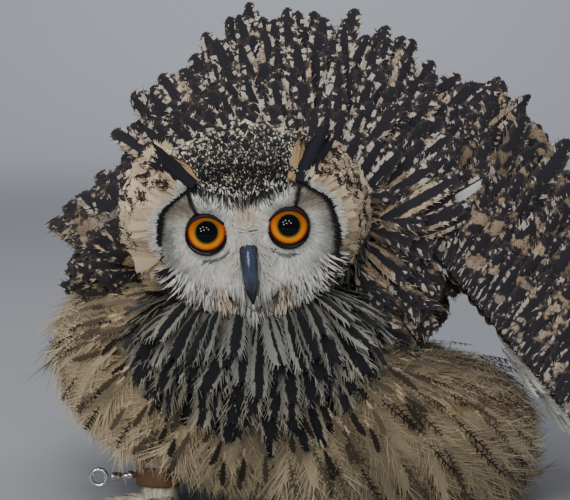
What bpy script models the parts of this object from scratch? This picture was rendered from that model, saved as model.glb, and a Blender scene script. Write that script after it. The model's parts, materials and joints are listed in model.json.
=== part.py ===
"""A rock eagle-owl standing hunched in a threat display, as a still, life-size model.

The owl faces -Y with its head low. Its back feathers stand up in a fan behind the head, its left wing
(on +X) is half spread with the wrist let down, and its right wing is half folded against the flank.
All sizes are metres. Shapes are placed in the owl's own frame, whose floor is z = 0 and whose middle of
the eyes is EYES. The finished model is then moved so that its origin is the middle of its box's bottom.
"""

import math

import bmesh
import bpy
import numpy as np
from mathutils import Matrix, Vector

# Clearance between neighbouring solids
GAP = 0.0003

# Faces that a Boolean splits are joined again where they turn by less than this
FLAT_ANGLE = math.radians(1.2)

# Driving dimensions of the head, in the head's frame: +X the owl's left, +Y backward, +Z up
EYES = Vector((0.0, -0.100, 0.197))
HEAD_PITCH = math.radians(10)
HEAD_ROLL = math.radians(-4.8)
EYE_HALF_SPAN = 0.025
EYE_RADIUS = 0.0145
EYE_DEPTH = 0.0085
SKULL_CENTRE = (0.0, 0.036, -0.001)
SKULL_RADII = (0.067, 0.060, 0.056)
FACE_HALF_WIDTH = 0.060
FACE_HALF_HEIGHT = 0.055
FACE_DROP = 0.006

# The body's forms: centre and radii of each
NECK_CENTRE = (0.008, -0.028, 0.188)
NECK_RADII = (0.060, 0.054, 0.056)
BELLY_CENTRE = (0.028, 0.020, 0.100)
BELLY_RADII = (0.162, 0.108, 0.092)
BELLY_SLOPE = -0.15
BELLY_DROP_LEFT = 0.45
BELLY_DROP_RIGHT = 0.30
BELLY_FLOOR = 0.006
BACK_CENTRE = (0.033, 0.052, 0.165)
BACK_RADII = (0.100, 0.098, 0.090)
BREAST_CENTRE = (0.004, -0.056, 0.124)
BREAST_RADII = (0.074, 0.044, 0.050)

# Legs
LEG_TOP = 0.050
TOE_RADIUS = 0.0085
TOE_LENGTH = 0.040
TALON_LENGTH = 0.021
TALON_RADIUS = 0.0034
RIGHT_FOOT = (-0.060, -0.026)
LEFT_FOOT = (0.104, 0.012)

# Falconry fittings on the right leg
ANKLET_HEIGHT = 0.013
ANKLET_WALL = 0.0022
ANKLET_INNER = 0.0131
ANKLET_BASE = 0.0235
SHANK_RADIUS = 0.0019
SHANK_LENGTH = 0.0175
RING_OUTER = 0.0068
RING_WIRE = 0.0016

# Feather sizes: length, width, thickness
PRIMARY = (0.265, 0.036, 0.0012)
RECTRIX = (0.190, 0.040, 0.0010)

# Body outline of a vane: share of the length, and share of the full half width
ROUND_VANE = ((0.0, 0.42), (0.34, 0.90), (0.70, 1.0), (0.90, 0.72), (1.0, 0.22))
FLIGHT_VANE = ((0.0, 0.22), (0.22, 0.80), (0.60, 1.0), (0.88, 0.84), (1.0, 0.26))
PLAIN_VANE = ((0.0, 0.50), (0.62, 1.0), (1.0, 0.34))

PLUMAGE = {
    "buff": ((0.46, 0.33, 0.19), 0.85, 0.0),
    "cream": ((0.62, 0.56, 0.45), 0.85, 0.0),
    "mottled": ((0.13, 0.10, 0.08), 0.80, 0.0),
    "slate": ((0.045, 0.055, 0.085), 0.30, 0.0),
    "iris": ((0.80, 0.26, 0.02), 0.08, 0.0),
    "claw": ((0.03, 0.03, 0.035), 0.35, 0.0),
    "leather": ((0.22, 0.12, 0.06), 0.60, 0.0),
    "steel": ((0.62, 0.63, 0.65), 0.25, 1.0),
}


def clear_scene():
    """Removes every object, so that only this model is left."""
    for obj in list(bpy.data.objects):
        bpy.data.objects.remove(obj)


def finish_of(name):
    """The Principled material of that name."""
    found = bpy.data.materials.get(name)
    if found:
        return found
    colour, roughness, metallic = PLUMAGE[name]
    material = bpy.data.materials.new(name)
    material.use_nodes = True
    shader = material.node_tree.nodes["Principled BSDF"]
    shader.inputs["Base Color"].default_value = (*colour, 1.0)
    shader.inputs["Roughness"].default_value = roughness
    shader.inputs["Metallic"].default_value = metallic
    return material


def face_out(obj):
    """Turns a closed mesh's faces outward and splits them into triangles."""
    work = bmesh.new()
    work.from_mesh(obj.data)
    bmesh.ops.recalc_face_normals(work, faces=work.faces)
    if work.calc_volume(signed=True) < 0:
        bmesh.ops.reverse_faces(work, faces=work.faces)
    bmesh.ops.triangulate(work, faces=work.faces)
    work.to_mesh(obj.data)
    work.free()


def mesh_object(name, points, faces, finish):
    """A new object from points and faces."""
    mesh = bpy.data.meshes.new(name)
    mesh.from_pydata([tuple(p) for p in points], [], faces)
    mesh.validate()
    obj = bpy.data.objects.new(name, mesh)
    bpy.context.scene.collection.objects.link(obj)
    mesh.materials.append(finish_of(finish))
    face_out(obj)
    return obj


def turned_frame(origin, yaw=0.0, pitch=0.0, roll=0.0):
    """A frame at origin, turned about Y, then X, then Z."""
    turn = Matrix.Rotation(yaw, 4, "Z") @ Matrix.Rotation(pitch, 4, "X") @ Matrix.Rotation(roll, 4, "Y")
    return Matrix.Translation(origin) @ turn


HEAD_FRAME = turned_frame(EYES, pitch=HEAD_PITCH, roll=HEAD_ROLL)


def smooth(value, low, high):
    """0 below low, 1 above high, and a smooth step between."""
    t = np.clip((value - low) / (high - low), 0.0, 1.0)
    return t * t * (3 - 2 * t)


def sphere_grid(segments, rings):
    """Unit directions on a ring-by-segment grid without the poles, and the grid's closed faces with both poles."""
    tilt = np.linspace(0, math.pi, rings + 2)[1:-1]
    turn = np.arange(segments) * 2 * math.pi / segments
    tilt, turn = np.meshgrid(tilt, turn, indexing="ij")
    grid = np.stack([np.sin(tilt) * np.sin(turn), -np.sin(tilt) * np.cos(turn), np.cos(tilt)], -1)
    points = np.vstack([grid.reshape(-1, 3), [[0, 0, 1]], [[0, 0, -1]]])
    top, bottom = len(points) - 2, len(points) - 1
    faces = []
    for ring in range(rings - 1):
        for k in range(segments):
            a, b = ring * segments + k, ring * segments + (k + 1) % segments
            faces += [(a, a + segments, b + segments, b)]
    last = (rings - 1) * segments
    for k in range(segments):
        following = (k + 1) % segments
        faces += [(top, k, following), (bottom, last + following, last + k)]
    return points, faces


def ellipsoid_point(directions, centre, radii, grow):
    """Points of an ellipsoid along unit directions, grown outward."""
    return np.array(centre) + directions * (np.array(radii) + grow)


def face_depth(x, z):
    """How far back the face's surface lies, at x across and z above the eyes, in the head's frame."""
    side = np.abs(x)
    depth = -0.003 + 4.6 * x**2 + 3.0 * (z + 0.004) ** 2
    dish = np.exp(-(((side - 0.030) / 0.016) ** 2) - ((z + 0.002) / 0.018) ** 2)
    ridge = np.exp(-((x / 0.0085) ** 2)) * np.exp(-(((z + 0.008) / 0.024) ** 2))
    brow = np.exp(-(((z - 0.013 - 0.22 * side) / 0.0055) ** 2)) * smooth(side, 0.004, 0.018) * (1 - smooth(side, 0.036, 0.050))
    chin = np.exp(-((x / 0.020) ** 2) - (((z + 0.040) / 0.012) ** 2))
    rim = np.exp(-(((np.hypot(x / 0.060, (z + 0.004) / 0.052) - 0.93) / 0.09) ** 2))
    return depth + 0.0025 * dish - 0.0095 * ridge - 0.0045 * brow - 0.0050 * chin - 0.0035 * rim


def head_points(directions, grow=0.0):
    """The head's surface along unit directions: a skull with a dished face, in the head's frame."""
    points = ellipsoid_point(directions, SKULL_CENTRE, SKULL_RADII, grow)
    x, z = points[:, 0], points[:, 2]
    within = np.hypot(x / FACE_HALF_WIDTH, (z + FACE_DROP) / FACE_HALF_HEIGHT)
    share = (1 - smooth(within, 0.72, 1.06)) * (directions[:, 1] < 0)
    points[:, 1] += share * (face_depth(x, z) - grow - points[:, 1])
    return points


def belly_points(directions, grow=0.0):
    """The puffed belly: a full form that leans, higher on the owl's right, and sits almost on the floor."""
    upper = directions[:, 2] > 0
    power = np.where(upper, 2.2, 4.2)
    scale = (np.abs(directions) ** power[:, None]).sum(1) ** (-1 / power)
    radii = np.array(BELLY_RADII)
    points = np.array(BELLY_CENTRE) + directions * scale[:, None] * radii
    across = points[:, 0] - BELLY_CENTRE[0]
    drop = (BELLY_DROP_LEFT * smooth(across, 0.0, 0.075) + BELLY_DROP_RIGHT * smooth(-across, 0.03, 0.11)) * upper
    points[:, 2] -= drop * (points[:, 2] - BELLY_CENTRE[2])
    points[:, 2] += BELLY_SLOPE * across
    low = points[:, 2] - BELLY_FLOOR
    points[:, 2] = BELLY_FLOOR + 0.5 * (low + np.sqrt(low**2 + 0.010**2))
    outward = directions / radii
    outward /= np.linalg.norm(outward, axis=1)[:, None]
    return points + outward * grow


def in_frame(frame, points):
    """Points moved by a frame."""
    turn = np.array(frame)
    return points @ turn[:3, :3].T + turn[:3, 3]


def blob(name, shape, finish, segments=24, rings=14, frame=None):
    """A closed form made by shape(directions)."""
    directions, faces = sphere_grid(segments, rings)
    points = shape(directions)
    if frame is not None:
        points = in_frame(frame, points)
    return mesh_object(name, points, faces, finish)


def ellipsoid(name, centre, radii, finish, grow=0.0, segments=24, rings=14):
    """A plain ellipsoid."""
    return blob(name, lambda d: ellipsoid_point(d, centre, radii, grow), finish, segments, rings)


def loft(name, stations, finish, sides=8, start=0.0):
    """A closed tube. A station is (centre, one radius vector, the other radius vector)."""
    points, faces = [], []
    for centre, across, up in stations:
        for k in range(sides):
            angle = start + 2 * math.pi * k / sides
            points.append(Vector(centre) + Vector(across) * math.cos(angle) + Vector(up) * math.sin(angle))
    for j in range(len(stations) - 1):
        for k in range(sides):
            a, b = j * sides + k, j * sides + (k + 1) % sides
            faces.append((a, b, b + sides, a + sides))
    end = (len(stations) - 1) * sides
    faces.append(tuple(reversed(range(sides))))
    faces.append(tuple(range(end, end + sides)))
    return mesh_object(name, points, faces, finish)


def square_to(direction, normal):
    """The unit normal nearest to the one given that is square to direction."""
    direction = Vector(direction).normalized()
    normal = Vector(normal)
    return (normal - direction * normal.dot(direction)).normalized()


def vane(root, direction, normal, size, curl=0.12, twist=0.0, outline=ROUND_VANE, sunk=0.006, camber=0.0):
    """A feather's vane as one closed strip. It bends back from its normal by curl of its length.

    Its root lies sunk below the surface that it grows from, and twist tilts it about its own shaft, so
    that it lies over one neighbour and under the other.
    """
    length, width, thickness = size
    direction = Vector(direction).normalized()
    normal = Matrix.Rotation(twist, 3, direction) @ square_to(direction, normal)
    side = direction.cross(normal)
    root = Vector(root) - direction * sunk
    length += sunk
    across = (-1.0, 1.0) if camber == 0 else (-1.0, 0.0, 1.0)
    points = []
    for share, spread in outline:
        centre = root + direction * length * share - normal * curl * length * share**2
        up = (normal + direction * 2 * curl * share).normalized()
        for face in (0.5, -0.5):
            for u in across:
                lift = up * (thickness * face + camber * width * (1 - u * u))
                points.append(centre + side * u * spread * width / 2 + lift)
    m = len(across)
    ring = 2 * m
    faces = []
    for j in range(len(outline) - 1):
        a, b = j * ring, (j + 1) * ring
        for k in range(m - 1):
            faces += [(a + k, b + k, b + k + 1), (a + k, b + k + 1, a + k + 1)]
            faces += [(a + m + k, b + m + k + 1, b + m + k), (a + m + k, a + m + k + 1, b + m + k + 1)]
        faces += [(a, a + m, b + m), (a, b + m, b)]
        faces += [(a + m - 1, b + m - 1, b + ring - 1), (a + m - 1, b + ring - 1, a + ring - 1)]
    end = (len(outline) - 1) * ring
    for k in range(m - 1):
        faces += [(k, k + 1, m + k + 1), (k, m + k + 1, m + k)]
        faces += [(end + k, end + m + k + 1, end + k + 1), (end + k, end + m + k, end + m + k + 1)]
    return points, faces


def hidden_collection(name, objects):
    """Moves objects into a collection of their own."""
    made = bpy.data.collections.new(name)
    bpy.context.scene.collection.children.link(made)
    for obj in objects:
        for old in list(obj.users_collection):
            old.objects.unlink(obj)
        made.objects.link(obj)
    return made


def apply_boolean(obj, others, operation, solver="MANIFOLD", whole=True):
    """One Boolean with a collection, applied. The collection's objects are then removed."""
    if not others:
        return obj
    tools = hidden_collection(obj.name + "_" + operation.lower(), others)
    modifier = obj.modifiers.new(operation.title(), "BOOLEAN")
    modifier.operation = operation
    modifier.solver = solver
    modifier.operand_type = "COLLECTION"
    modifier.collection = tools
    graph = bpy.context.evaluated_depsgraph_get()
    made = bpy.data.meshes.new_from_object(obj.evaluated_get(graph))
    obj.modifiers.clear()
    obj.data = made
    for other in others:
        bpy.data.objects.remove(other)
    bpy.data.collections.remove(tools)
    if whole:
        keep_largest(obj)
    return obj


def islands(work):
    """The mesh's connected groups of faces."""
    left = set(work.faces)
    while left:
        group, todo = set(), [left.pop()]
        while todo:
            face = todo.pop()
            group.add(face)
            for edge in face.edges:
                for other in edge.link_faces:
                    if other in left:
                        left.remove(other)
                        todo.append(other)
        yield group


def group_volume(group):
    """The volume that a closed group of faces holds."""
    total = 0.0
    for face in group:
        corners = [v.co for v in face.verts]
        for k in range(1, len(corners) - 1):
            total += corners[0].dot(corners[k].cross(corners[k + 1])) / 6
    return total


def keep_largest(obj):
    """Keeps only the largest closed surface of a mesh."""
    work = bmesh.new()
    work.from_mesh(obj.data)
    groups = sorted(islands(work), key=group_volume)
    for group in groups[:-1]:
        bmesh.ops.delete(work, geom=list(group), context="FACES")
    bmesh.ops.dissolve_limit(work, angle_limit=FLAT_ANGLE, verts=work.verts, edges=work.edges)
    bmesh.ops.triangulate(work, faces=work.faces)
    work.to_mesh(obj.data)
    work.free()


def fuse(core, vanes, cutters=(), solver="MANIFOLD"):
    """Joins vanes to the form that they grow from, as one closed body, less what they would run into."""
    pieces = [mesh_object(core.name + "_vane", points, faces, "buff") for points, faces in vanes]
    if cutters:
        first, rest = pieces[0], pieces[1:]
        apply_boolean(first, rest, "UNION", solver, whole=False)
        apply_boolean(first, list(cutters), "DIFFERENCE", solver, whole=False)
        pieces = [first]
    return apply_boolean(core, pieces, "UNION", solver)


def cut(obj, cutters, solver="MANIFOLD"):
    """Cuts other forms out of obj."""
    return apply_boolean(obj, cutters, "DIFFERENCE", solver)


def make_eyes():
    """The two eyeballs."""
    for name, side in (("eye_right", -1), ("eye_left", 1)):
        centre = HEAD_FRAME @ Vector((side * EYE_HALF_SPAN, EYE_DEPTH, 0))
        ellipsoid(name, centre, (EYE_RADIUS,) * 3, "iris", segments=16, rings=9)


def bill_path(share):
    """Centre, half width and half depth of the upper bill at a share of its length."""
    bend = share * math.radians(78)
    centre = Vector((0, -0.0085 - 0.0120 * math.sin(bend) + 0.0075 * share**3, -0.0085 - 0.0325 * share))
    return centre, 0.0064 * (1 - share**2.2) + 0.0006, 0.0062 * (1 - share**1.7) + 0.0007


def bill_upper(name, grow=0.0):
    """The hooked upper bill."""
    stations = []
    for share in (0.0, 0.16, 0.34, 0.54, 0.74, 0.90, 1.0):
        centre, half_width, half_depth = bill_path(share)
        tilt = math.radians(16 + 62 * (1 - share))
        up = Vector((0, -math.cos(math.radians(90) - tilt), math.sin(math.radians(90) - tilt) * 0.35))
        across = Vector((half_width + grow, 0, 0))
        stations.append((HEAD_FRAME @ centre, HEAD_FRAME.to_3x3() @ across, HEAD_FRAME.to_3x3() @ (up.normalized() * (half_depth + grow))))
    return loft(name, stations, "slate", sides=8)


def bill_lower(name, grow=0.0):
    """The lower bill, closed behind the hook."""
    stations = []
    for share in (0.0, 0.5, 1.0):
        centre = Vector((0, -0.0010 - 0.0065 * share, -0.0265 - 0.0100 * share))
        across = Vector((0.0050 - 0.0026 * share + grow, 0, 0))
        up = Vector((0, -0.6, 0.8)) * (0.0034 - 0.0014 * share + grow)
        stations.append((HEAD_FRAME @ centre, HEAD_FRAME.to_3x3() @ across, HEAD_FRAME.to_3x3() @ up))
    return loft(name, stations, "slate", sides=6)


def lid_ring(side):
    """The lid round one eye: a ring that stands proud of the face, heavier above."""
    centre = Vector((side * EYE_HALF_SPAN, EYE_DEPTH - 0.0078, 0))
    steps, sides = 14, 4
    points, faces = [], []
    for k in range(steps):
        turn = 2 * math.pi * k / steps
        out = Vector((math.cos(turn), 0, math.sin(turn)))
        thick = 0.0017 + 0.0007 * max(0.0, math.sin(turn))
        for j in range(sides):
            around = 2 * math.pi * j / sides
            offset = out * (0.0122 + thick * math.cos(around)) + Vector((0, 1, 0)) * thick * 1.5 * math.sin(around)
            points.append(HEAD_FRAME @ (centre + offset))
    for k in range(steps):
        for j in range(sides):
            a, b = k * sides + j, k * sides + (j + 1) % sides
            c, d = ((k + 1) % steps) * sides + (j + 1) % sides, ((k + 1) % steps) * sides + j
            faces.append((a, b, c, d))
    return mesh_object("lid", points, faces, "cream")


def ruff_vanes():
    """The ruff: vanes round the sides and underside of the face, lying out and back."""
    vanes = []
    rows = ((0.93, 6, 0.024, 28), (0.99, 7, 0.030, 46))
    turn = HEAD_FRAME.to_3x3()
    for reach, count, length, lay in rows:
        for k in range(2 * count):
            angle = math.radians(-56 + 108 * (k % count) / (count - 1))
            angle = angle if k < count else math.pi - angle
            out = Vector((math.cos(angle), 0, -math.sin(angle)))
            across = Vector((SKULL_CENTRE[0], SKULL_CENTRE[1] - 0.030, SKULL_CENTRE[2]))
            start = across + Vector((out.x * SKULL_RADII[0] * reach * 0.90, 0.040 * (reach - 0.90) * 4, out.z * SKULL_RADII[2] * reach * 0.90))
            back = math.radians(lay)
            direction = out * math.cos(back) + Vector((0, 1, 0)) * math.sin(back)
            normal = Vector((0, -1, 0)) * math.cos(back) + out * math.sin(back)
            vanes.append(vane(HEAD_FRAME @ start, turn @ direction, turn @ normal, (length, 0.020, 0.0008),
                              curl=0.15, twist=math.radians(9), outline=PLAIN_VANE, sunk=0.008))
    return vanes


# Root and tip of each ear tuft, in the head's frame
TUFTS = {
    "ear_tuft_right": ((-0.0330, 0.006, 0.0365), (-0.0575, 0.030, 0.0575)),
    "ear_tuft_left": ((0.0356, 0.006, 0.0340), (0.0505, 0.030, 0.0610)),
}


def tuft_axes(name):
    """Root, tip, direction, sideways direction and front of an ear tuft, in the head's frame."""
    root, tip = (Vector(p) for p in TUFTS[name])
    direction = (tip - root).normalized()
    normal = square_to(direction, (0, -1, 0.3))
    return root, tip, direction, direction.cross(normal), normal


def tuft_space(name):
    """The space that an ear tuft takes, from which the ruff keeps clear."""
    root, tip, direction, side, normal = tuft_axes(name)
    half = (tip - root).length * 0.66
    frame = Matrix((side, direction, normal)).transposed().to_4x4()
    frame.translation = root.lerp(tip, 0.48)
    return blob("cut_tuft", lambda d: ellipsoid_point(d, (0, 0, 0), (0.0125, half, 0.0060), 0.0), "cream", 10, 6, HEAD_FRAME @ frame)


def make_head():
    """The head with its dished face, lids and ruff, less the eyes' and bill's places."""
    head = blob("head", head_points, "cream", segments=26, rings=15, frame=HEAD_FRAME)
    lids = [lid_ring(side) for side in (-1, 1)]
    apply_boolean(head, lids, "UNION")
    fuse(head, ruff_vanes(), body_forms(GAP, ("head", "tail")) + [tuft_space(name) for name in TUFTS])
    cutters = [bill_upper("cut_bill", GAP), bill_lower("cut_jaw", GAP)]
    for side in (-1, 1):
        centre = HEAD_FRAME @ Vector((side * EYE_HALF_SPAN, EYE_DEPTH, 0))
        cutters.append(ellipsoid("cut_eye", centre, (EYE_RADIUS,) * 3, "iris", GAP, segments=16, rings=9))
    cut(head, cutters)


class Wing:
    """A wing's bony edge as a path from shoulder to wrist, with its chord and its upper side at each place."""

    def __init__(self, path, chord_in, chord_out, upper):
        self.path = [Vector(p) for p in path]
        self.chord_in = Vector(chord_in).normalized()
        self.chord_out = Vector(chord_out).normalized()
        self.upper = upper
        steps = [(b - a).length for a, b in zip(self.path, self.path[1:])]
        self.ends = [sum(steps[:k]) / sum(steps) for k in range(len(steps) + 1)]

    def edge(self, s):
        """The point of the leading edge at share s."""
        for k in range(len(self.ends) - 1):
            if s <= self.ends[k + 1] or k == len(self.ends) - 2:
                part = (s - self.ends[k]) / (self.ends[k + 1] - self.ends[k])
                return self.path[k].lerp(self.path[k + 1], part)

    def along(self, s):
        """The edge's direction toward the wrist."""
        return (self.edge(min(1.0, s + 0.15)) - self.edge(max(0.0, s - 0.15))).normalized()

    def chord(self, s):
        """The direction in which the feathers lie."""
        return self.chord_in.lerp(self.chord_out, s).normalized()

    def normal(self, s):
        """The direction that the wing's upper side faces."""
        return (self.along(s).cross(self.chord(s)) * self.upper).normalized()

    def point(self, s, c, h):
        """The place at share s along the edge, c behind it and h above it."""
        return self.edge(s) + self.chord(s) * c + self.normal(s) * h


LEFT_WING = Wing(((0.100, 0.015, 0.190), (0.121, 0.000, 0.171), (0.207, -0.020, 0.069), (0.248, -0.028, 0.040)),
                 (0.30, 0.90, 0.15), (0.35, 0.90, 0.30), 1)
RIGHT_WING = Wing(((-0.040, 0.012, 0.200), (-0.074, 0.008, 0.188), (-0.101, 0.006, 0.167)),
                  (-0.10, 0.97, -0.06), (-0.10, 0.97, -0.10), -1)


def arm_core(name, wing, depth, height, grow=0.0, first=0.0, last=1.0):
    """The wing's arm: a rounded bar along its leading edge."""
    stations = []
    for k in range(5):
        s = first + (last - first) * k / 4
        swell = 1.0 - 0.25 * k / 4
        centre = wing.point(s, depth * 0.42, 0)
        stations.append((centre, wing.chord(s) * (depth / 2 * swell + grow), wing.normal(s) * (height / 2 * swell + grow)))
    if grow:
        stations[0] = (stations[0][0] - wing.along(first) * grow,) + stations[0][1:]
        stations[-1] = (stations[-1][0] + wing.along(last) * grow,) + stations[-1][1:]
    return loft(name, stations, "mottled", sides=10)


ARMS = {
    "wing_left_arm": (LEFT_WING, 0.050, 0.016),
    "wing_right_arm": (RIGHT_WING, 0.050, 0.016),
}
TAIL_ROOT = Vector((0.056, 0.140, 0.112))
TAIL_DIRECTION = Vector((0.18, 0.98, 0.10)).normalized()
TAIL_RADII = (0.034, 0.034, 0.016)


def hand_axes():
    """The left hand's frame: its innermost feather's direction, the way outward and its upper side."""
    inner = LEFT_WING.chord(1)
    normal = square_to(inner, (0.45, -0.38, 0.81))
    return inner, inner.cross(normal), normal


def hand_direction(share, spread=28.0, lift=8.0):
    """The direction of a primary, by its share of the way out along the hand."""
    inner, outer, normal = hand_axes()
    turn, rise = math.radians(spread) * share, math.radians(lift)
    return (inner * math.cos(turn) + outer * math.sin(turn)) * math.cos(rise) + normal * math.sin(rise)


def hand_root(share, c=0.0, h=0.0):
    """A place on the left hand."""
    inner, outer, normal = hand_axes()
    return LEFT_WING.point(1, 0.016, 0) + (inner + outer).normalized() * (0.006 + 0.070 * share) + inner * c + normal * h


def raised(wing, s, raise_deg, spread_deg=0.0):
    """A feather's direction at s: the chord, raised toward the wing's upper side and spread toward the wrist."""
    lift, spread = math.radians(raise_deg), math.radians(spread_deg)
    flat = wing.chord(s) * math.cos(spread) + wing.along(s) * math.sin(spread)
    return flat.normalized() * math.cos(lift) + wing.normal(s) * math.sin(lift)


# Tiers of an arm: place behind the edge, height, raise, length, width, thickness, count, outline
LEFT_TIERS = (
    (0.040, 0.000, 18, 0.195, 0.044, 0.0011, 9, FLIGHT_VANE),
    (0.032, 0.004, 40, 0.128, 0.040, 0.0008, 8, ROUND_VANE),
    (0.018, 0.006, 48, 0.078, 0.038, 0.0008, 7, PLAIN_VANE),
    (0.006, 0.005, 58, 0.048, 0.036, 0.0008, 6, PLAIN_VANE),
)
RIGHT_TIERS = (
    (0.040, 0.000, 3, 0.165, 0.040, 0.0011, 5, FLIGHT_VANE),
    (0.032, 0.004, 34, 0.088, 0.038, 0.0008, 5, ROUND_VANE),
    (0.018, 0.006, 46, 0.068, 0.036, 0.0008, 4, PLAIN_VANE),
    (0.006, 0.005, 58, 0.048, 0.034, 0.0008, 4, PLAIN_VANE),
)


def arm_vanes(wing, tiers, twist):
    """The tiers of one arm: secondaries below, then three tiers of coverts, each raised more than the last."""
    vanes = []
    for tier, (c, h, lift, length, width, thickness, count, outline) in enumerate(tiers):
        for k in range(count):
            s = (k + 0.5 + 0.25 * (tier % 2)) / (count + 0.25)
            spread = -22 + 30 * s if tier else -6 + 14 * s
            direction = raised(wing, s, lift, spread)
            normal = wing.normal(s) * math.cos(math.radians(lift)) - wing.chord(s) * math.sin(math.radians(lift))
            size = (length * (1.07 - 0.17 * s), width, thickness)
            vanes.append(vane(wing.point(s, c, h), direction, normal, size, curl=0.10 if tier else 0.06,
                              twist=math.radians(twist), outline=outline, sunk=0.012))
    return vanes


def divider(side):
    """The space beyond the plane that parts the back's feathers from a wing's, on the wing's side or the back's."""
    point, normal = {
        "left": (Vector((0.112, 0, 0.212)), Vector((0.588, 0, -0.809))),
        "right": (Vector((-0.044, 0, 0.210)), Vector((-0.545, 0, -0.839))),
    }[side[5:] if side.startswith("back_") else side]
    normal.normalize()
    if side.startswith("back_"):
        normal = -normal
    across = normal.cross(Vector((0, 1, 0)))
    start = point - normal * GAP / 2
    corners = []
    for u in (0.0, 0.5):
        for v in (0.012, 0.5):
            for w in (-0.5, 0.5):
                corners.append(start + normal * u + Vector((0, v, 0)) + across * w)
    return mesh_object("divider", corners, [(0, 1, 3, 2), (4, 6, 7, 5), (0, 4, 5, 1), (2, 3, 7, 6), (0, 2, 6, 4), (1, 5, 7, 3)], "buff")


def wrist_plane(beyond):
    """The space past the left wrist, or before it, parted along the chord."""
    middle = LEFT_WING.point(1, 0.010, 0)
    inner, outer, normal = hand_axes()
    away = outer if beyond else -outer
    start = middle - away * GAP / 2
    corners = [start + away * u + inner * v + normal * w for u in (0.0, 0.6) for v in (-0.3, 0.6) for w in (-0.4, 0.4)]
    return mesh_object("divider", corners, [(0, 1, 3, 2), (4, 6, 7, 5), (0, 4, 5, 1), (2, 3, 7, 6), (0, 2, 6, 4), (1, 5, 7, 3)], "buff")


def hand_core(name, grow=0.0):
    """The left hand: a flattened bar from the wrist out to the tip of the bones."""
    inner, outer, normal = hand_axes()
    stations = []
    for share, size in ((0.0, 1.0), (0.4, 0.9), (0.8, 0.7), (1.05, 0.35)):
        stations.append((hand_root(share, c=0.006, h=0.0), (inner - outer).normalized() * (0.015 * size + grow), normal * (0.0065 * size + grow)))
    return loft(name, stations, "mottled", sides=10)


def make_left_hand():
    """The left hand: primaries that fan outward, their coverts and the alula."""
    inner, outer, normal = hand_axes()
    core = hand_core("wing_left_hand")
    vanes = []
    for k in range(8):
        share = (k + 0.6) / 8
        size = (PRIMARY[0] * (1 - 0.10 * abs(share - 0.7)), PRIMARY[1] - 0.004 * share, PRIMARY[2])
        vanes.append(vane(hand_root(share, c=0.010), hand_direction(share), normal, size, curl=0.08,
                          twist=math.radians(14), outline=FLIGHT_VANE, sunk=0.010))
    for k in range(4):
        share = (k + 0.7) / 4
        vanes.append(vane(hand_root(share, c=0.006, h=0.004), hand_direction(share, lift=26), normal, (0.092, 0.032, 0.0008),
                          curl=0.10, twist=math.radians(9), sunk=0.012))
    for k in range(3):
        share = (k + 0.6) / 3
        vanes.append(vane(hand_root(share, c=0.0, h=0.004), hand_direction(share, lift=42), normal, (0.050, 0.030, 0.0008),
                          curl=0.10, twist=math.radians(9), outline=PLAIN_VANE, sunk=0.010))
    for k in range(2):
        vanes.append(vane(hand_root(0.10 + 0.10 * k, c=-0.006, h=0.004), hand_direction(0.9, spread=50, lift=20), normal,
                          (0.060 + 0.012 * k, 0.018, 0.0008), curl=0.06, outline=PLAIN_VANE, sunk=0.010))
    cutters = [wrist_plane(False), arm_core("cut_arm", *ARMS["wing_left_arm"], grow=GAP)]
    cut(core, [arm_core("cut_arm", *ARMS["wing_left_arm"], grow=GAP), wrist_plane(False)])
    fuse(core, vanes, cutters)


def right_hand_core(name, grow=0.0):
    """The folded right hand: a short bar under the arm, from the wrist backward."""
    stations = []
    for c, size in ((0.014, 0.9), (0.034, 1.0), (0.060, 0.8), (0.078, 0.4)):
        centre = RIGHT_WING.point(0.84, c, -0.0155)
        stations.append((centre, RIGHT_WING.along(0.9) * (0.013 * size + grow), RIGHT_WING.normal(0.9) * (0.0052 * size + grow)))
    return loft(name, stations, "mottled", sides=10)


def make_right_hand():
    """The folded right hand, whose primaries lie under the secondaries and pass their tips."""
    core = right_hand_core("wing_right_hand")
    vanes = []
    for k in range(6):
        share = k / 5
        root = RIGHT_WING.point(0.84, 0.074 - 0.044 * share, -0.0155) + RIGHT_WING.along(0.9) * (0.009 * (2 * share - 1))
        turn = math.radians(-5 + 12 * share)
        direction = RIGHT_WING.chord(0.9) * math.cos(turn) + RIGHT_WING.along(0.9) * math.sin(turn) - RIGHT_WING.normal(0.9) * 0.08
        vanes.append(vane(root, direction, RIGHT_WING.normal(0.9), (0.150 + 0.060 * share, 0.030, 0.0010), curl=0.05,
                          twist=math.radians(-18), outline=FLIGHT_VANE, sunk=0.010))
    others = body_forms(GAP, ("wing_left_arm", "right_hand"))
    cut(core, body_forms(GAP, ("wing_left_arm", "right_hand", "torso")))
    fuse(core, vanes, others)


def make_arms():
    """Both arms with their tiers."""
    for name, tiers, twist in (("wing_left_arm", LEFT_TIERS, 8), ("wing_right_arm", RIGHT_TIERS, -8)):
        arm = arm_core(name, *ARMS[name])
        cutters = body_forms(GAP, ARM_NAMES) + [divider("back_" + name[5:-4])]
        if name == "wing_left_arm":
            cutters.append(wrist_plane(True))
        fuse(arm, arm_vanes(ARMS[name][0], tiers, twist), cutters)


ARM_NAMES = tuple(ARMS)


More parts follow.
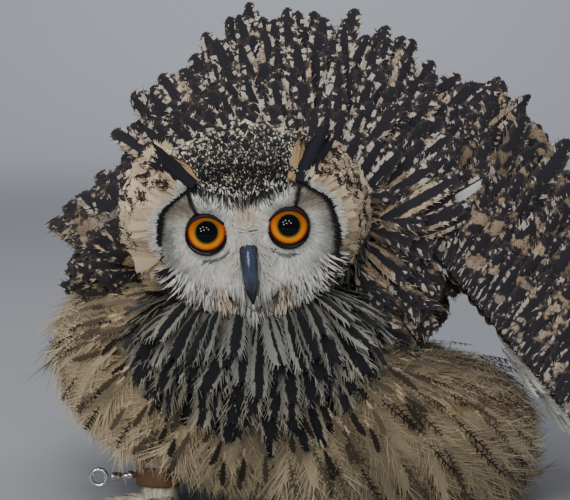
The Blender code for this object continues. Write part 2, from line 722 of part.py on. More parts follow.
def body_forms(grow, leave_out=()):
    """The plain forms of the body, grown, to cut from a neighbour."""
    made = []
    if "head" not in leave_out:
        made.append(blob("cut_head", lambda d: head_points(d, grow), "cream", segments=26, rings=15, frame=HEAD_FRAME))
    if "neck" not in leave_out:
        made.append(ellipsoid("cut_neck", NECK_CENTRE, NECK_RADII, "buff", grow, segments=14, rings=8))
    if "breast" not in leave_out:
        made.append(ellipsoid("cut_breast", BREAST_CENTRE, BREAST_RADII, "cream", grow, segments=18, rings=10))
    if "back" not in leave_out:
        made.append(ellipsoid("cut_back", BACK_CENTRE, BACK_RADII, "mottled", grow, segments=20, rings=11))
    if "torso" not in leave_out:
        made.append(blob("cut_torso", lambda d: belly_points(d, grow), "buff", segments=26, rings=14))
    for name in ARM_NAMES:
        if name not in leave_out:
            made.append(arm_core("cut_arm", *ARMS[name], grow=grow))
    if "tail" not in leave_out:
        made.append(tail_core("cut_tail", grow))
    if "right_hand" not in leave_out:
        made.append(right_hand_core("cut_hand", grow))
    return made


def tail_core(name, grow=0.0):
    """The root of the tail: a flattened form along the tail."""
    side = TAIL_DIRECTION.cross(Vector((0, 0, 1))).normalized()
    up = side.cross(TAIL_DIRECTION)
    frame = Matrix((side, TAIL_DIRECTION, up)).transposed().to_4x4()
    frame.translation = TAIL_ROOT
    return blob(name, lambda d: ellipsoid_point(d, (0, 0, 0), TAIL_RADII, grow), "mottled", 16, 9, frame)


def make_tail():
    """The tail: rectrices in a half-open fan, the middle ones on top, with a tier of coverts over their roots."""
    side = TAIL_DIRECTION.cross(Vector((0, 0, 1))).normalized()
    up = side.cross(TAIL_DIRECTION)
    tail = tail_core("tail")
    vanes = []
    for k in range(8):
        place = (k - 3.5) / 3.5
        turn = math.radians(13) * place
        direction = TAIL_DIRECTION * math.cos(turn) + side * math.sin(turn)
        root = TAIL_ROOT + side * 0.022 * place + TAIL_DIRECTION * 0.018
        vanes.append(vane(root, direction, up, RECTRIX, curl=0.07, twist=math.radians(12),
                          outline=FLIGHT_VANE, sunk=0.010))
    for k in range(3):
        turn = math.radians(22) * (k - 1)
        direction = (TAIL_DIRECTION * math.cos(turn) + side * math.sin(turn)) * math.cos(0.25) + up * math.sin(0.25)
        vanes.append(vane(TAIL_ROOT + side * 0.014 * (k - 1) + up * 0.010, direction, up, (0.086, 0.040, 0.0008), sunk=0.006))
    cut(tail, body_forms(GAP, ("tail", "head", "neck", "breast")))
    fuse(tail, vanes, body_forms(GAP, ("tail", "head", "neck", "breast")))


def leg_shape(name, foot, finish, grow=0.0):
    """A feathered leg: a short column under the belly."""
    x, y = foot
    stations = []
    for height, radius in ((0.0175, 0.0118), (0.026, 0.0115), (0.038, 0.0122), (LEG_TOP, 0.0150)):
        stations.append(((x, y + 0.05 * (height - 0.02), height), (radius + grow, 0, 0), (0, radius + grow, 0)))
    if grow:
        stations[-1] = ((x, y + 0.0015, LEG_TOP + grow),) + stations[-1][1:]
    return loft(name, stations, finish, sides=14)


# Toe name: angle from forward toward the owl's left for the left foot, and length share
FOOT_HOLLOW = (0.068, 0.080, 0.0215)
TOES = {"inner": (-28, 1.0), "middle": (8, 1.08), "outer": (74, 0.95), "hind": (168, 0.72)}


def toe_stations(foot, side, angle, share, grow=0.0):
    """The stations of one toe, from the foot's middle to the claw's root."""
    turn = math.radians(angle) * side
    out = Vector((math.sin(turn), -math.cos(turn), 0))
    across = Vector((out.y, -out.x, 0))
    stations = []
    for reach, radius, rise in ((0.0, 1.0, 0.0), (0.35, 1.02, 0.0004), (0.70, 0.92, 0.0), (1.0, 0.66, 0.0)):
        size = TOE_RADIUS * radius
        centre = Vector((foot[0], foot[1], 0)) + out * TOE_LENGTH * share * reach + Vector((0, 0, size * 0.96 + rise))
        stations.append((centre, across * (size + grow), Vector((0, 0, size * 0.96 + grow))))
    return stations, out


def talon(name, foot, side, angle, share, grow=0.0):
    """One claw, curving down to the floor."""
    stations, out = toe_stations(foot, side, angle, share)
    start = stations[-1][0] - out * 0.0045 + Vector((0, 0, 0.0010))
    made = []
    for part in (0.0, 0.25, 0.50, 0.75, 1.0):
        bend = math.radians(62) * part
        centre = start + out * TALON_LENGTH * math.sin(bend) * 0.95 + Vector((0, 0, 0.0010 - 0.0062 * part**1.6 + 0.0016 * math.sin(math.pi * part)))
        radius = TALON_RADIUS * (1 - 0.86 * part) + grow
        lean = Vector((out.x * math.sin(bend), out.y * math.sin(bend), math.cos(bend)))
        made.append((centre, Vector((out.y, -out.x, 0)) * radius, lean * radius * 1.1))
    return loft(name, made, "claw", sides=6)


def foot_forms(name, foot, side, grow=0.0):
    """A foot's pad and its four toes."""
    x, y = foot
    pad = [((x, y, height), (radius + grow, 0, 0), (0, radius + grow, 0))
           for height, radius in ((-grow, 0.0125), (0.009, 0.0142), (0.0175 - GAP + grow, 0.0125))]
    toes = [toe_stations(foot, side, angle, share, grow)[0] for angle, share in TOES.values()]
    return [loft(name, pad, "cream", sides=14)] + [loft("toe", toe, "cream", sides=8, start=math.pi / 8) for toe in toes]


def make_feet():
    """Legs, feet with four toes each, and eight claws."""
    for name, foot, side in (("right", RIGHT_FOOT, -1), ("left", LEFT_FOOT, 1)):
        leg_shape("leg_" + name, foot, "cream")
        pad, *toes = foot_forms("foot_" + name, foot, side)
        apply_boolean(pad, toes, "UNION", "MANIFOLD")
        cut(pad, [talon("cut_talon", foot, side, angle, share, GAP) for angle, share in TOES.values()])
        floor = mesh_box("floor", (-1, -1, -0.1), (1, 1, 0.0))
        cut(pad, [floor, leg_shape("cut_leg", foot, "cream", GAP)])
        for toe, (angle, share) in TOES.items():
            talon("talon_" + name + "_" + toe, foot, side, angle, share)


def make_tufts():
    """The two ear tufts, each of three long feathers swept back over the crown from one thick root."""
    turn = HEAD_FRAME.to_3x3()
    for name in TUFTS:
        root, tip, direction, side, normal = tuft_axes(name)
        stations = []
        for part, width in ((-0.30, 0.8), (0.05, 1.0), (0.30, 0.8), (0.50, 0.3)):
            centre = root.lerp(tip, part)
            stations.append((HEAD_FRAME @ centre, turn @ (side * 0.0056 * width), turn @ (normal * 0.0030 * width)))
        tuft = loft(name, stations, "mottled", sides=8)
        length = (tip - root).length
        vanes = []
        for k, (lean, share) in enumerate(((-14, 0.82), (0, 1.0), (13, 0.90))):
            way = direction * math.cos(math.radians(lean)) + side * math.sin(math.radians(lean))
            start = root + side * 0.0026 * (k - 1)
            vanes.append(vane(HEAD_FRAME @ start, turn @ way, turn @ normal, (length * share, 0.0100, 0.0007), curl=0.10,
                              twist=math.radians(10), outline=PLAIN_VANE, sunk=0.004))
        grown = [blob("cut_head", lambda d: head_points(d, GAP), "cream", segments=26, rings=15, frame=HEAD_FRAME)]
        fuse(tuft, vanes)
        cut(tuft, grown)


def tube_between(name, low, high, outer, inner, finish, sides=16):
    """A plain upright ring between two heights."""
    (x, y), (z0, z1) = low, high
    points, faces = [], []
    for radius, z in ((inner, z0), (outer, z0), (outer, z1), (inner, z1)):
        points += [(x + radius * math.cos(2 * math.pi * k / sides), y + radius * math.sin(2 * math.pi * k / sides), z) for k in range(sides)]
    for j in range(4):
        for k in range(sides):
            a, b = j * sides + k, j * sides + (k + 1) % sides
            c, d = ((j + 1) % 4) * sides + (k + 1) % sides, ((j + 1) % 4) * sides + k
            faces.append((a, b, c, d))
    return mesh_object(name, points, faces, finish)


def ring(name, centre, axis, radius, wire, finish, steps=18, sides=6):
    """A round ring of wire."""
    axis = Vector(axis).normalized()
    first = axis.orthogonal().normalized()
    second = axis.cross(first)
    points, faces = [], []
    for k in range(steps):
        turn = 2 * math.pi * k / steps
        out = first * math.cos(turn) + second * math.sin(turn)
        for j in range(sides):
            around = 2 * math.pi * (j + 0.5) / sides
            points.append(Vector(centre) + out * (radius + wire * math.cos(around)) + axis * wire * math.sin(around))
    for k in range(steps):
        for j in range(sides):
            a, b = k * sides + j, k * sides + (j + 1) % sides
            c, d = ((k + 1) % steps) * sides + (j + 1) % sides, ((k + 1) % steps) * sides + j
            faces.append((a, b, c, d))
    return mesh_object(name, points, faces, finish)


def make_fittings():
    """Leather anklets, and the steel swivel that hangs from the right one."""
    for name, foot in (("right", RIGHT_FOOT), ("left", LEFT_FOOT)):
        inner = ANKLET_INNER
        place = (foot[0], foot[1] + 0.0003)
        tube_between("anklet_" + name, place, (ANKLET_BASE, ANKLET_BASE + ANKLET_HEIGHT), inner + ANKLET_WALL, inner, "leather")
    make_swivel()


def make_swivel(grow=0.0, only_ends=False):
    """The steel swivel: a stepped shank from the right anklet and the ring at its end."""
    x, y = RIGHT_FOOT
    height = ANKLET_BASE + ANKLET_HEIGHT / 2
    out = Vector((-1, -0.30, 0)).normalized()
    middle = Vector((x, y + 0.0003, height))
    across, up = Vector((out.y, -out.x, 0)), Vector((0, 0, 1))
    start = middle + out * (ANKLET_INNER + ANKLET_WALL + GAP)
    stations = []
    for reach, radius in ((0.0, 1.0), (0.10, 1.0), (0.12, 1.5), (0.30, 1.5), (0.32, 1.0), (0.60, 1.0), (0.62, 1.45), (0.92, 1.45), (1.0, 0.8)):
        centre = start + out * SHANK_LENGTH * reach
        stations.append((centre, across * (SHANK_RADIUS * radius + grow), up * (SHANK_RADIUS * radius + grow)))
    centre = stations[-1][0] + out * (RING_OUTER + GAP)
    if only_ends:
        return [start, centre]
    loft("swivel_shank", stations, "steel", sides=12)
    ring("swivel_ring", centre, (0, -1, 0), RING_OUTER - RING_WIRE, RING_WIRE, "steel", steps=24)
    return []


def mesh_box(name, low, high):
    """A box between two corners."""
    points = [(x, y, z) for x in (low[0], high[0]) for y in (low[1], high[1]) for z in (low[2], high[2])]
    return mesh_object(name, points, [(0, 1, 3, 2), (4, 6, 7, 5), (0, 4, 5, 1), (2, 3, 7, 6), (0, 2, 6, 4), (1, 5, 7, 3)], "cream")


def settle():
    """Moves the model so that its origin is the middle of its box's bottom."""
    low = Vector((1e9,) * 3)
    high = Vector((-1e9,) * 3)
    for obj in bpy.context.scene.objects:
        for vertex in obj.data.vertices:
            low = Vector(map(min, low, vertex.co))
            high = Vector(map(max, high, vertex.co))
    shift = Vector(((low.x + high.x) / 2, (low.y + high.y) / 2, low.z))
    for obj in bpy.context.scene.objects:
        obj.data.transform(Matrix.Translation(-shift))


# Rows of the raised back: place along the body, radius of the roots, tilt, length, width, count, first and last angle
FAN_AXIS = Vector((0.033, 0.0, 0.167))
FAN_ROWS = (
    (-0.020, 0.056, 12, 0.052, 0.038, 6, -56, 76),
    (0.004, 0.078, 20, 0.058, 0.040, 6, -50, 58),
    (0.030, 0.088, 27, 0.072, 0.044, 7, -62, 56),
    (0.056, 0.091, 33, 0.100, 0.047, 8, -68, 60),
    (0.084, 0.088, 42, 0.114, 0.050, 8, -66, 60),
    (0.110, 0.076, 58, 0.096, 0.048, 5, -50, 48),
)

# Rows of the rump: height as an angle above the back's middle, length, count, half the angle that the row spans
RUMP_ROWS = ((40, 0.066, 3, 44), (8, 0.054, 4, 56))

# The fan's reach at angles from upright, positive toward the owl's left
FAN_ANGLES = (-68, -57, -48, -41, -27, -12, 0, 11, 20, 26, 34, 42, 50, 60)
FAN_REACH = (1.00, 0.98, 0.86, 0.87, 0.93, 1.00, 1.02, 1.00, 0.97, 1.03, 0.95, 1.06, 1.18, 1.34)


def back_vanes():
    """The raised feathers of the back: rows of vanes that stand out from the body and lean back."""
    vanes = []
    for row, (y, radius, tilt, length, width, count, first, last) in enumerate(FAN_ROWS):
        for k in range(count):
            share = (k + 0.25 * (-1) ** row) / (count - 1)
            angle = math.radians(first + (last - first) * share)
            out = Vector((math.sin(angle), 0, math.cos(angle)))
            lean = math.radians(tilt)
            direction = out * math.cos(lean) + Vector((0, 1, 0)) * math.sin(lean)
            normal = Vector((0, -1, 0)) * math.cos(lean) + out * math.sin(lean)
            outline = PLAIN_VANE if row < 2 else ROUND_VANE
            reach = length * float(np.interp(math.degrees(angle), FAN_ANGLES, FAN_REACH))
            vanes.append(vane(FAN_AXIS + out * radius + Vector((0, y, 0)), direction, normal, (reach, width, 0.0008),
                              curl=0.12, twist=math.radians(9), outline=outline, sunk=0.010))
    return vanes


def rump_vanes():
    """The feathers behind the fan: two rows that lie over the rump toward the tail."""
    vanes = []
    centre, radii = Vector(BACK_CENTRE), Vector(BACK_RADII)
    for rise, length, count, half in RUMP_ROWS:
        up = math.radians(rise)
        for k in range(count):
            turn = math.radians(-half + 2 * half * k / (count - 1)) + 0.22
            out = Vector((math.sin(turn) * math.cos(up), math.cos(turn) * math.cos(up), math.sin(up)))
            root = Vector((centre.x + radii.x * out.x, centre.y + radii.y * out.y, centre.z + radii.z * out.z))
            normal = Vector((out.x / radii.x, out.y / radii.y, out.z / radii.z)).normalized()
            flat = square_to(normal, TAIL_DIRECTION * 0.5 - Vector((0, 0, 1)))
            direction = flat * math.cos(0.42) + normal * math.sin(0.42)
            vanes.append(vane(root, direction, normal, (length, 0.046, 0.0008), curl=0.16, twist=math.radians(8),
                              outline=PLAIN_VANE, sunk=0.008))
    return vanes


def make_back():
    """The back with its raised fan."""
    back = ellipsoid("back", BACK_CENTRE, BACK_RADII, "mottled", segments=20, rings=11)
    cut(back, body_forms(GAP, ("back", "torso", "tail")))
    cutters = body_forms(GAP, ("back",)) + [divider("left"), divider("right")]
    fuse(back, back_vanes() + rump_vanes(), cutters)


BREAST_ROWS = ((0.148, 8, 66), (0.130, 9, 76), (0.110, 8, 62))


def breast_vanes():
    """The bib: three tiers of narrow vanes that hang from the breast."""
    vanes = []
    centre, radii = Vector(BREAST_CENTRE), Vector(BREAST_RADII)
    for row, (z, count, half) in enumerate(BREAST_ROWS):
        ring = math.sqrt(max(0.0, 1 - ((z - centre.z) / radii.z) ** 2))
        for k in range(count):
            turn = math.radians(-half + 2 * half * (k + 0.25 * (-1) ** row) / (count - 1))
            outward = Vector((math.sin(turn) / radii.x, -math.cos(turn) / radii.y, 0)).normalized()
            root = Vector((centre.x + radii.x * ring * math.sin(turn), centre.y - radii.y * ring * math.cos(turn), z))
            direction = Vector((outward.x * 0.55, outward.y * 0.22, -1.0))
            vanes.append(vane(root, direction, outward, (0.046, 0.018, 0.0008), curl=0.05, twist=math.radians(9),
                              outline=PLAIN_VANE, sunk=0.006))
    return vanes


def make_breast():
    """The breast with its bib."""
    breast = ellipsoid("breast", BREAST_CENTRE, BREAST_RADII, "cream", segments=18, rings=10)
    cut(breast, body_forms(GAP, ("breast", "back", "torso", "tail")))
    fuse(breast, breast_vanes(), body_forms(GAP, ("breast",)))


def make_torso():
    """The belly, with hollows under it where the feet stand and sockets for the legs."""
    torso = blob("torso", belly_points, "buff", segments=26, rings=14)
    cutters = body_forms(GAP, ("torso", "tail"))
    for x, y in (RIGHT_FOOT, LEFT_FOOT):
        cutters.append(leg_shape("cut_leg", (x, y), "cream", GAP))
        cutters.append(ellipsoid("cut_foot", (x, y - 0.008, 0.0), FOOT_HOLLOW, "cream", 0.0, 16, 7))
        radius = ANKLET_INNER + ANKLET_WALL + 2 * GAP
        column = [((x, y + 0.0003, z), (radius, 0, 0), (0, radius, 0)) for z in (-0.002, ANKLET_BASE + ANKLET_HEIGHT + GAP)]
        cutters.append(loft("cut_anklet", column, "leather", sides=16))
    ends = make_swivel(0.001, only_ends=True)
    cutters.append(ellipsoid("cut_swivel", (ends[0] + ends[1]) / 2, ((ends[1] - ends[0]).length / 2 + 0.012, 0.010, 0.0095), "steel", 0.0, 12, 7))
    cut(torso, cutters)


def shade():
    """Shades round forms smooth, with their edges kept sharp."""
    for obj in bpy.context.scene.objects:
        obj.data.shade_smooth()
        obj.data.set_sharp_from_angle(angle=math.radians(35))


def main():
    """Builds every node."""
    clear_scene()
    make_eyes()
    bill_upper("bill_upper")
    jaw = bill_lower("bill_lower")
    cut(jaw, [bill_upper("cut_bill", GAP)])
    make_head()
    neck = ellipsoid("neck", NECK_CENTRE, NECK_RADII, "buff", segments=14, rings=8)
    cut(neck, body_forms(GAP, ("neck", "breast", "back", "torso", "tail")))
    make_breast()
    make_back()
    make_torso()
    make_arms()
    make_left_hand()
    make_right_hand()
    make_tail()
    make_feet()
    make_tufts()
    make_fittings()
    settle()
    shade()


main()
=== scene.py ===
"""Looks of a rock eagle-owl standing hunched in a threat display: one skin, its feathers, eyes, bill and fittings.

Every shape is worked out in the owl's own frame, in metres: the owl faces -Y, +X is its left and the floor
is z = 0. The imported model's frame differs from it by one shift, which the eyes' places give.
"""

import json
import logging
import math
from dataclasses import dataclass, field, replace
from enum import Enum
from typing import Callable, Optional, Sequence

import bmesh
import bpy
import numpy as np
from mathutils import Matrix
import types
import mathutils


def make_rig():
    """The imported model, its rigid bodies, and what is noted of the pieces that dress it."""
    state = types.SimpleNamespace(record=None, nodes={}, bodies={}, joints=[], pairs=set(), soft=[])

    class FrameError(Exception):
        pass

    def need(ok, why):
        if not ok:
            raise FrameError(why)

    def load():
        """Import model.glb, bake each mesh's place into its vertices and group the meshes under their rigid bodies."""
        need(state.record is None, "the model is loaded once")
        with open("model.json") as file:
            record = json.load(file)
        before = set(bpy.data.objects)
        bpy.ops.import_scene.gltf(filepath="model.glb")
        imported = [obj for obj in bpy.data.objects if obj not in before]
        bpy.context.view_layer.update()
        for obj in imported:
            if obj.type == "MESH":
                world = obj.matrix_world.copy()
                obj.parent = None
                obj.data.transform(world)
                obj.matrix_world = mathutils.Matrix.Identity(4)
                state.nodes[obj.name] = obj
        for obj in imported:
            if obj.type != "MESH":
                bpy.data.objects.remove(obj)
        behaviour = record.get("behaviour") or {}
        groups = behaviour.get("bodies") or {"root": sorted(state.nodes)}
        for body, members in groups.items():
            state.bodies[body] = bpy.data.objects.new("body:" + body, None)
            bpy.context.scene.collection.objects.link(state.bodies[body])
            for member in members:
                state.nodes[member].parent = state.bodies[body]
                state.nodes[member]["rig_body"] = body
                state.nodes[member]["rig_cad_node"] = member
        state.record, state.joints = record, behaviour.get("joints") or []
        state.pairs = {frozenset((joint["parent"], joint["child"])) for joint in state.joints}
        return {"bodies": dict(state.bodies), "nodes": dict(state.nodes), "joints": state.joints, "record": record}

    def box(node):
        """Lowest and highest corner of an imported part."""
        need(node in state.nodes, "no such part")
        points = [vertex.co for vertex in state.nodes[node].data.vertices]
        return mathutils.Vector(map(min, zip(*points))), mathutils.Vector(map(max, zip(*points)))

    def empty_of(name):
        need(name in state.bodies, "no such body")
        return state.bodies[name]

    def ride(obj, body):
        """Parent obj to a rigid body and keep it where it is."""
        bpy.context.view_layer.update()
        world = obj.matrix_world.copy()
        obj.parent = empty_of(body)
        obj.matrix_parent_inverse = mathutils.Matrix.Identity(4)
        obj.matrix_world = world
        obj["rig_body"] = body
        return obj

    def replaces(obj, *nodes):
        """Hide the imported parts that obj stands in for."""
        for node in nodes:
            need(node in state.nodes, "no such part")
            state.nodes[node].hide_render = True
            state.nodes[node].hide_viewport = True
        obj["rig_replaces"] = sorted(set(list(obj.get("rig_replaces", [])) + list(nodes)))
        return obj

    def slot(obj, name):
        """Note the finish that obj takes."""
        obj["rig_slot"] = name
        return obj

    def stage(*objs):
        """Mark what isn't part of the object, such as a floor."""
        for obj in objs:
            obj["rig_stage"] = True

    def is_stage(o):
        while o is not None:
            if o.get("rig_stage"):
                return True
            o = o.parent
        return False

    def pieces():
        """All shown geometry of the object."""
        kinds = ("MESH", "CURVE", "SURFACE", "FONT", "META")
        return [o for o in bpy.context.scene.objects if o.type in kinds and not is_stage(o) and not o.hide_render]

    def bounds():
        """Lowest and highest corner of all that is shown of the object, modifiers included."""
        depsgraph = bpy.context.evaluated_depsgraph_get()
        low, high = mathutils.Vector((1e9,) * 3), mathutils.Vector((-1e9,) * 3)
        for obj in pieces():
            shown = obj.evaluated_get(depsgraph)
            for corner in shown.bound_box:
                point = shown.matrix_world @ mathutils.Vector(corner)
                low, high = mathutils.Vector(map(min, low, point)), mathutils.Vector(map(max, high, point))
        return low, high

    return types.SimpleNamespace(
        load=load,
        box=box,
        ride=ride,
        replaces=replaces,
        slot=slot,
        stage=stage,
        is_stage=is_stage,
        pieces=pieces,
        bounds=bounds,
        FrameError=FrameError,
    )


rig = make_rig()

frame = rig.load()
LOG = logging.getLogger("owl")
Array = np.ndarray
Colour = tuple[float, float, float]
Place = tuple[float, float, float]
Curve = tuple[tuple[float, float], ...]
Tint = tuple[Array, Array]
X_WAY, UP = np.array([1.0, 0.0, 0.0]), np.array([0.0, 0.0, 1.0])


class Slot(Enum):
    """The record's material slots."""

    BUFF = "buff_plumage"
    PALE = "pale_plumage"
    DARK = "dark_plumage"
    BILL = "bill"
    EYE = "eye"
    CLAW = "claw"
    LEATHER = "leather"
    STEEL = "steel"


# Small helpers on arrays


def unit(vectors: Array) -> Array:
    """Vectors of length one along the last axis."""
    return vectors / np.maximum(np.linalg.norm(vectors, axis=-1, keepdims=True), 1e-12)


def smooth(value: Array, low: float, high: float) -> Array:
    """0 below low, 1 above high, and a smooth step between."""
    t = np.clip((np.asarray(value, dtype=float) - low) / (high - low), 0, 1)
    return t * t * (3 - 2 * t)


def bump_at(value: Array, middle: object, width: float, power: float = 2.0) -> Array:
    """1 at middle, falling off to both sides over width."""
    return np.exp(-(np.abs((value - middle) / width) ** power))


def lobe(angle: Array, middle: float, width: float) -> Array:
    """1 at an angle of a full turn, falling off to both sides over width."""
    return bump_at(np.angle(np.exp(1j * (angle - middle))), 0, width)


def curve(table: Curve, place: Array) -> Array:
    """Values at places along a curve given as pairs of place and value."""
    return np.interp(place, *np.array(table).T)


def square_to(direction: Array, normal: Array) -> Array:
    """The unit part of normal that is square to direction."""
    return unit(normal - direction * (normal * direction).sum(-1, keepdims=True))


def mixed(share: Array, first: Array, second: Array) -> Array:
    """first at share 0 and second at share 1, for colours along the last axis."""
    share = np.asarray(share)[..., None]
    return first * (1 - share) + second * share


def deep(values: Array, axes: int) -> Array:
    """The same values with so many axes of length one put in after the first."""
    return values.reshape(len(values), *(1,) * axes, *values.shape[1:])


def rows_of(*columns: object) -> Array:
    """Vectors from their parts, each an array or one number for all."""
    return np.stack(np.broadcast_arrays(*columns), -1)


def turns(count: int) -> Array:
    """Evenly spaced angles of a full turn."""
    return np.arange(count) * 2 * math.pi / count


def ripple(points: Array, scale: float, seed: int) -> Array:
    """A soft, seeded noise from -1 to 1: the mean of six sine waves that run in drawn directions."""
    rng = np.random.default_rng(seed)
    ways = unit(rng.normal(size=(6, 3))) * rng.uniform(0.6, 1.5, (6, 1)) * 2 * math.pi / scale
    return np.sin(points @ ways.T + rng.uniform(0, 6.28, 6)).mean(-1) * 1.6


def even_directions(count: int) -> Array:
    """Unit directions spread evenly over a sphere along a golden spiral, with poles on the X axis."""
    k = np.arange(count) + 0.5
    x = 1 - 2 * k / count
    turn = k * math.pi * (3 - math.sqrt(5))
    ring = np.sqrt(1 - x * x)
    return rows_of(x, ring * np.cos(turn), ring * np.sin(turn))


def unwrapped(directions: Array) -> Array:
    """The place of each direction on a sphere's own unwrap: its turn and its height, each from 0 to 1."""
    turn = np.arctan2(directions[:, 0], -directions[:, 1]) / (2 * math.pi) + 0.5
    return rows_of(turn, np.arccos(np.clip(directions[:, 2], -1, 1)) / math.pi)


# The body's forms


@dataclass(frozen=True)
class Pose:
    """A turn and an origin that carry local points into the owl's frame."""

    origin: Place = (0.0, 0.0, 0.0)
    pitch: float = 0.0
    roll: float = 0.0

    def turn(self) -> Array:
        """The turn as a 3 x 3 array: about Y by roll, then about X by pitch."""
        pitch, roll = math.radians(self.pitch), math.radians(self.roll)
        return np.array(Matrix.Rotation(pitch, 3, "X") @ Matrix.Rotation(roll, 3, "Y"))

    def points(self, local: Array) -> Array:
        """Local points in the owl's frame."""
        return self.vectors(local) + self.origin

    def vectors(self, local: Array) -> Array:
        """Local directions in the owl's frame."""
        return local @ self.turn().T

    def local(self, points: Array) -> Array:
        """Points of the owl's frame as local ones."""
        return (points - self.origin) @ self.turn()


HEAD = Pose((0.0, -0.100, 0.197), 10.0, -4.8)
EYE_HALF_SPAN = 0.025
EYE_RADIUS = 0.0145
EYE_DEPTH = 0.0085


@dataclass(frozen=True)
class Ball:
    """An ellipsoid of flesh."""

    centre: Place
    radii: Place
    pose: Pose = Pose()

    def local_at(self, directions: Array, grow: float) -> Array:
        """Its surface along unit directions, in its own frame: centre + direction * (radius + grow)."""
        return self.centre + directions * (np.array(self.radii) + grow)

    def at(self, directions: Array, grow: float = 0.0) -> Array:
        """Its surface along unit directions, in the owl's frame."""
        return self.pose.points(self.local_at(directions, grow))

    def outward(self, directions: Array, grow: float = 0.0) -> Array:
        """The surface's unit normals, as the cross product of two small steps along it."""
        first = unit(np.cross(directions, np.where(np.abs(directions[:, 2:]) < 0.9, UP, X_WAY)))
        here = self.at(directions, grow)
        a, b = (self.at(unit(directions + way * 2e-3), grow) - here for way in (first, np.cross(directions, first)))
        normal = unit(np.cross(a, b))
        away = here - self.pose.points(np.array([self.centre]))
        return normal * np.sign((normal * away).sum(-1, keepdims=True))

    def holds(self, points: Array, grow: float = 0.0) -> Array:
        """Which points lie inside it."""
        local = (self.pose.local(points) - self.centre) / (np.array(self.radii) + grow)
        return (local**2).sum(-1) < 1.0


@dataclass(frozen=True)
class Skull(Ball):
    """The head: an ellipsoid whose front is pressed into a dished face."""

    face_half: tuple[float, float] = (0.060, 0.055)
    face_drop: float = 0.006

    def face_depth(self, x: Array, z: Array) -> Array:
        """How far back the face lies at x across and z above the eyes: a shallow bowl with dishes round the
        eyes, less a ridge down the bill, two brows, the chin and the raised rim."""
        side = np.abs(x)
        depth = -0.003 + 4.6 * x**2 + 3.0 * (z + 0.004) ** 2
        dish = bump_at(side, 0.030, 0.016) * bump_at(z, -0.002, 0.018)
        ridge = bump_at(x, 0.0, 0.0085) * bump_at(z, -0.008, 0.024)
        brow = bump_at(z, 0.013 + 0.22 * side, 0.0055) * smooth(side, 0.004, 0.018) * (1 - smooth(side, 0.036, 0.050))
        chin = bump_at(x, 0.0, 0.020) * bump_at(z, -0.040, 0.012)
        rim = bump_at(np.hypot(x / 0.060, (z + 0.004) / 0.052), 0.93, 0.09)
        return depth + 0.0025 * dish - 0.0095 * ridge - 0.0045 * brow - 0.0050 * chin - 0.0035 * rim

    def within(self, x: Array, z: Array) -> Array:
        """How far out in the face a place is: 0 in its middle and 1 at its edge."""
        return np.hypot(x / self.face_half[0], (z + self.face_drop) / self.face_half[1])

    def local_at(self, directions: Array, grow: float) -> Array:
        """The ellipsoid, with its front moved to the face's depth."""
        points = super().local_at(directions, grow)
        x, z = points[:, 0], points[:, 2]
        share = (1 - smooth(self.within(x, z), 0.72, 1.06)) * (directions[:, 1] < 0)
        points[:, 1] += share * (self.face_depth(x, z) - grow - points[:, 1])
        return points


@dataclass(frozen=True)
class Belly(Ball):
    """The puffed belly: a full form, rounder above, that leans and sits almost on the floor."""

    slope: float = -0.15
    drop_left: float = 0.58
    drop_right: float = 0.30
    floor: float = 0.006

    def power(self, directions: Array) -> Array:
        """The superellipsoid's power: 2.2 above, and below from 4.2 on the left to 3.1 over the right foot."""
        return np.where(directions[:, 2] > 0, 2.2, 4.2 - 1.1 * smooth(-directions[:, 0], 0, 0.6))

    def drop(self, across: Array) -> Array:
        """The share by which the upper side is let down, from the middle out to both flanks."""
        return self.drop_left * smooth(across, 0, 0.075) + self.drop_right * smooth(-across, 0.03, 0.11)

    def local_at(self, directions: Array, grow: float) -> Array:
        """A superellipsoid, let down at its sides, sloped and kept off the floor."""
        power = self.power(directions)
        scale = (np.abs(directions) ** power[:, None]).sum(1) ** (-1 / power)
        points = self.centre + directions * scale[:, None] * self.radii
        across = points[:, 0] - self.centre[0]
        points[:, 2] -= self.drop(across) * (directions[:, 2] > 0) * (points[:, 2] - self.centre[2])
        points[:, 2] += self.slope * across
        low = points[:, 2] - self.floor
        points[:, 2] = self.floor + 0.5 * (low + np.sqrt(low**2 + 0.010**2))
        return points + unit(directions / self.radii) * grow

    def holds(self, points: Array, grow: float = 0.0) -> Array:
        """Which points lie inside it, by undoing the slope and the letting down."""
        x, y, z = (points - self.centre).T
        z = z - self.slope * x
        local = rows_of(x, y, np.where(z > 0, z / (1 - self.drop(x)), z))
        power = self.power(unit(local / self.radii))[:, None]
        return ((np.abs(local) / (np.array(self.radii) + grow)) ** power).sum(-1) < 1.0


SKULL = Skull((0.0, 0.036, -0.001), (0.067, 0.060, 0.056), HEAD)
NECK = Ball((0.008, -0.028, 0.188), (0.060, 0.054, 0.056))
BREAST = Ball((0.004, -0.056, 0.124), (0.074, 0.044, 0.050))
BACK = Ball((0.033, 0.052, 0.165), (0.100, 0.098, 0.090))
BELLY = Belly((0.028, 0.020, 0.100), (0.162, 0.108, 0.092))
WRIST = Ball((-0.088, 0.010, 0.160), (0.024, 0.024, 0.020))
TAIL_ROOT = Ball((0.056, 0.140, 0.112), (0.034, 0.034, 0.016))
TAIL_WAY = unit(np.array([0.18, 0.98, 0.10]))


